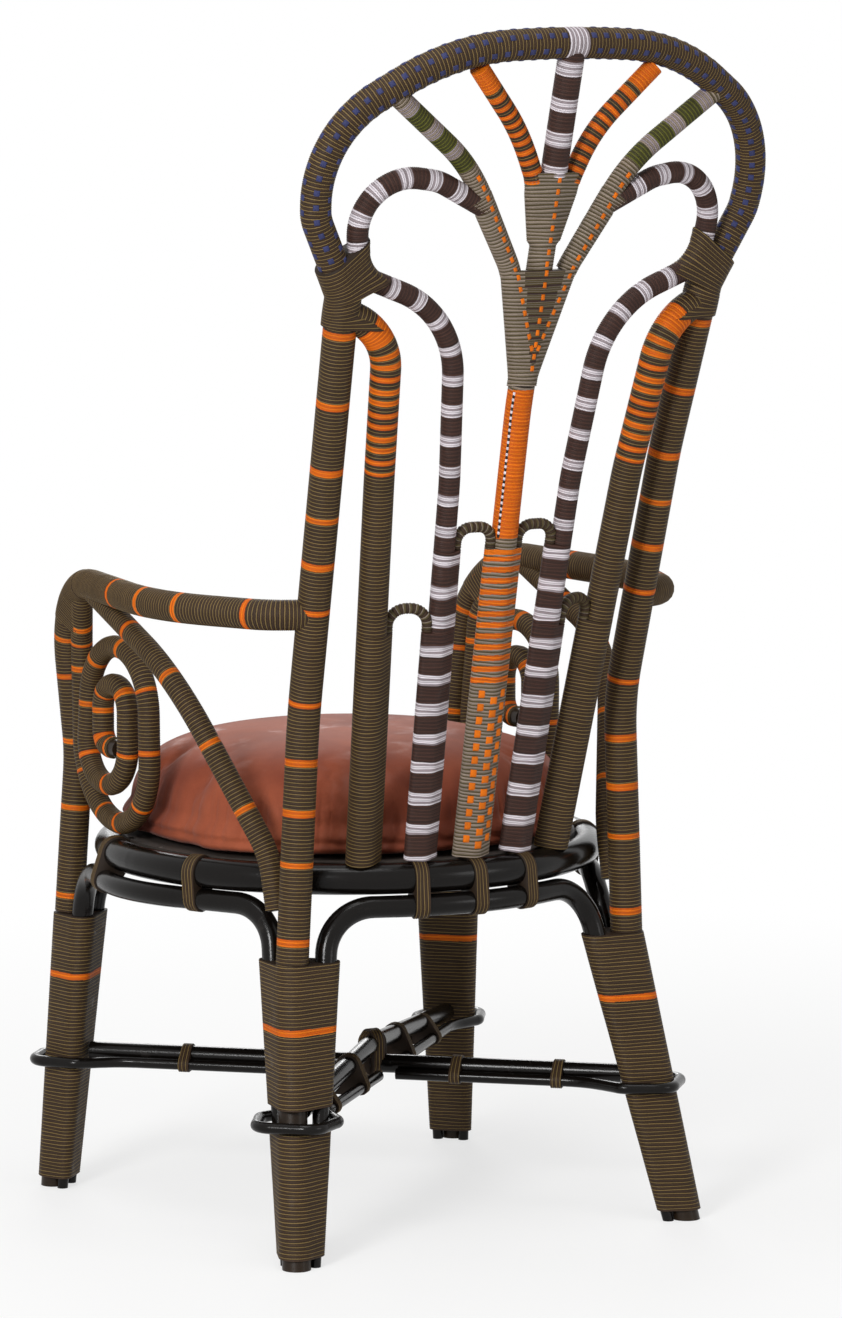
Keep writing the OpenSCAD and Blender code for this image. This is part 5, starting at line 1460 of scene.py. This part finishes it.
floorMesh = bpy.data.meshes.new("floor")
far, low = studio["floorHalf"], studio["floorZ"]
floorMesh.from_pydata([(-far, -far, low), (far, -far, low), (far, far, low), (-far, far, low)], [], [(0, 1, 2, 3)])
floorMesh.materials.append(floorMaterial())
floor = bpy.data.objects.new("floor", floorMesh)
scene.collection.objects.link(floor)

world = bpy.data.worlds.new("studio")
scene.world = world
world.use_nodes = True
sky = world.node_tree
ambient = sky.nodes["Background"]
ambient.inputs[0].default_value = (1, 1, 1, 1)
ambient.inputs[1].default_value = studio["world"]
white = sky.nodes.new("ShaderNodeBackground")
white.inputs[0].default_value = (1, 1, 1, 1)
white.inputs[1].default_value = 1.0
mix = sky.nodes.new("ShaderNodeMixShader")
sky.links.new(addSight(sky), mix.inputs[0])
sky.links.new(ambient.outputs[0], mix.inputs[1])
sky.links.new(white.outputs[0], mix.inputs[2])
sky.links.new(mix.outputs[0], sky.nodes["World Output"].inputs["Surface"])

# Lamps: place, breadth and power; all point at the middle of the chair
lamps = {"key": ((3.9, 2.7, 2.5), 1.3, 165), "fill": ((-2.0, 3.6, 1.6), 1.6, 20),
         "top": ((0.6, 0.6, 4.2), 2.0, 55), "front": ((-1.8, -3.8, 2.4), 2.0, 60)}
lampAim = Vector((0, 0, 0.65))
for name, (place, size, power) in lamps.items():
    light = bpy.data.lights.new(name, "AREA")
    light.shape, light.size, light.energy = "DISK", size, power
    lamp = bpy.data.objects.new(name, light)
    lamp.location = place
    lamp.rotation_mode = "QUATERNION"
    lamp.rotation_quaternion = (Vector(place) - lampAim).to_track_quat("Z", "Y")
    scene.collection.objects.link(lamp)

# The camera's focal length is in pixels of a picture that is 1318 high
view = {"azimuth": 148.90, "elevation": 6.79, "distance": 6.833, "target": (-0.066, -0.04631, 0.632),
        "focal": 5889, "pixels": 1318, "sensor": 36}
azimuth, elevation = math.radians(view["azimuth"]), math.radians(view["elevation"])
back = Vector((math.sin(azimuth) * math.cos(elevation), -math.cos(azimuth) * math.cos(elevation),
               math.sin(elevation)))
cameraData = bpy.data.cameras.new("camera")
cameraData.sensor_width = view["sensor"]
cameraData.lens = view["focal"] * view["sensor"] / view["pixels"]
cameraData.clip_end = 100
camera = bpy.data.objects.new("camera", cameraData)
camera.rotation_mode = "QUATERNION"
camera.rotation_quaternion = back.to_track_quat("Z", "Y")
camera.location = Vector(view["target"]) + back * view["distance"]
scene.collection.objects.link(camera)
scene.camera = camera
scene.view_settings.view_transform = "Standard"
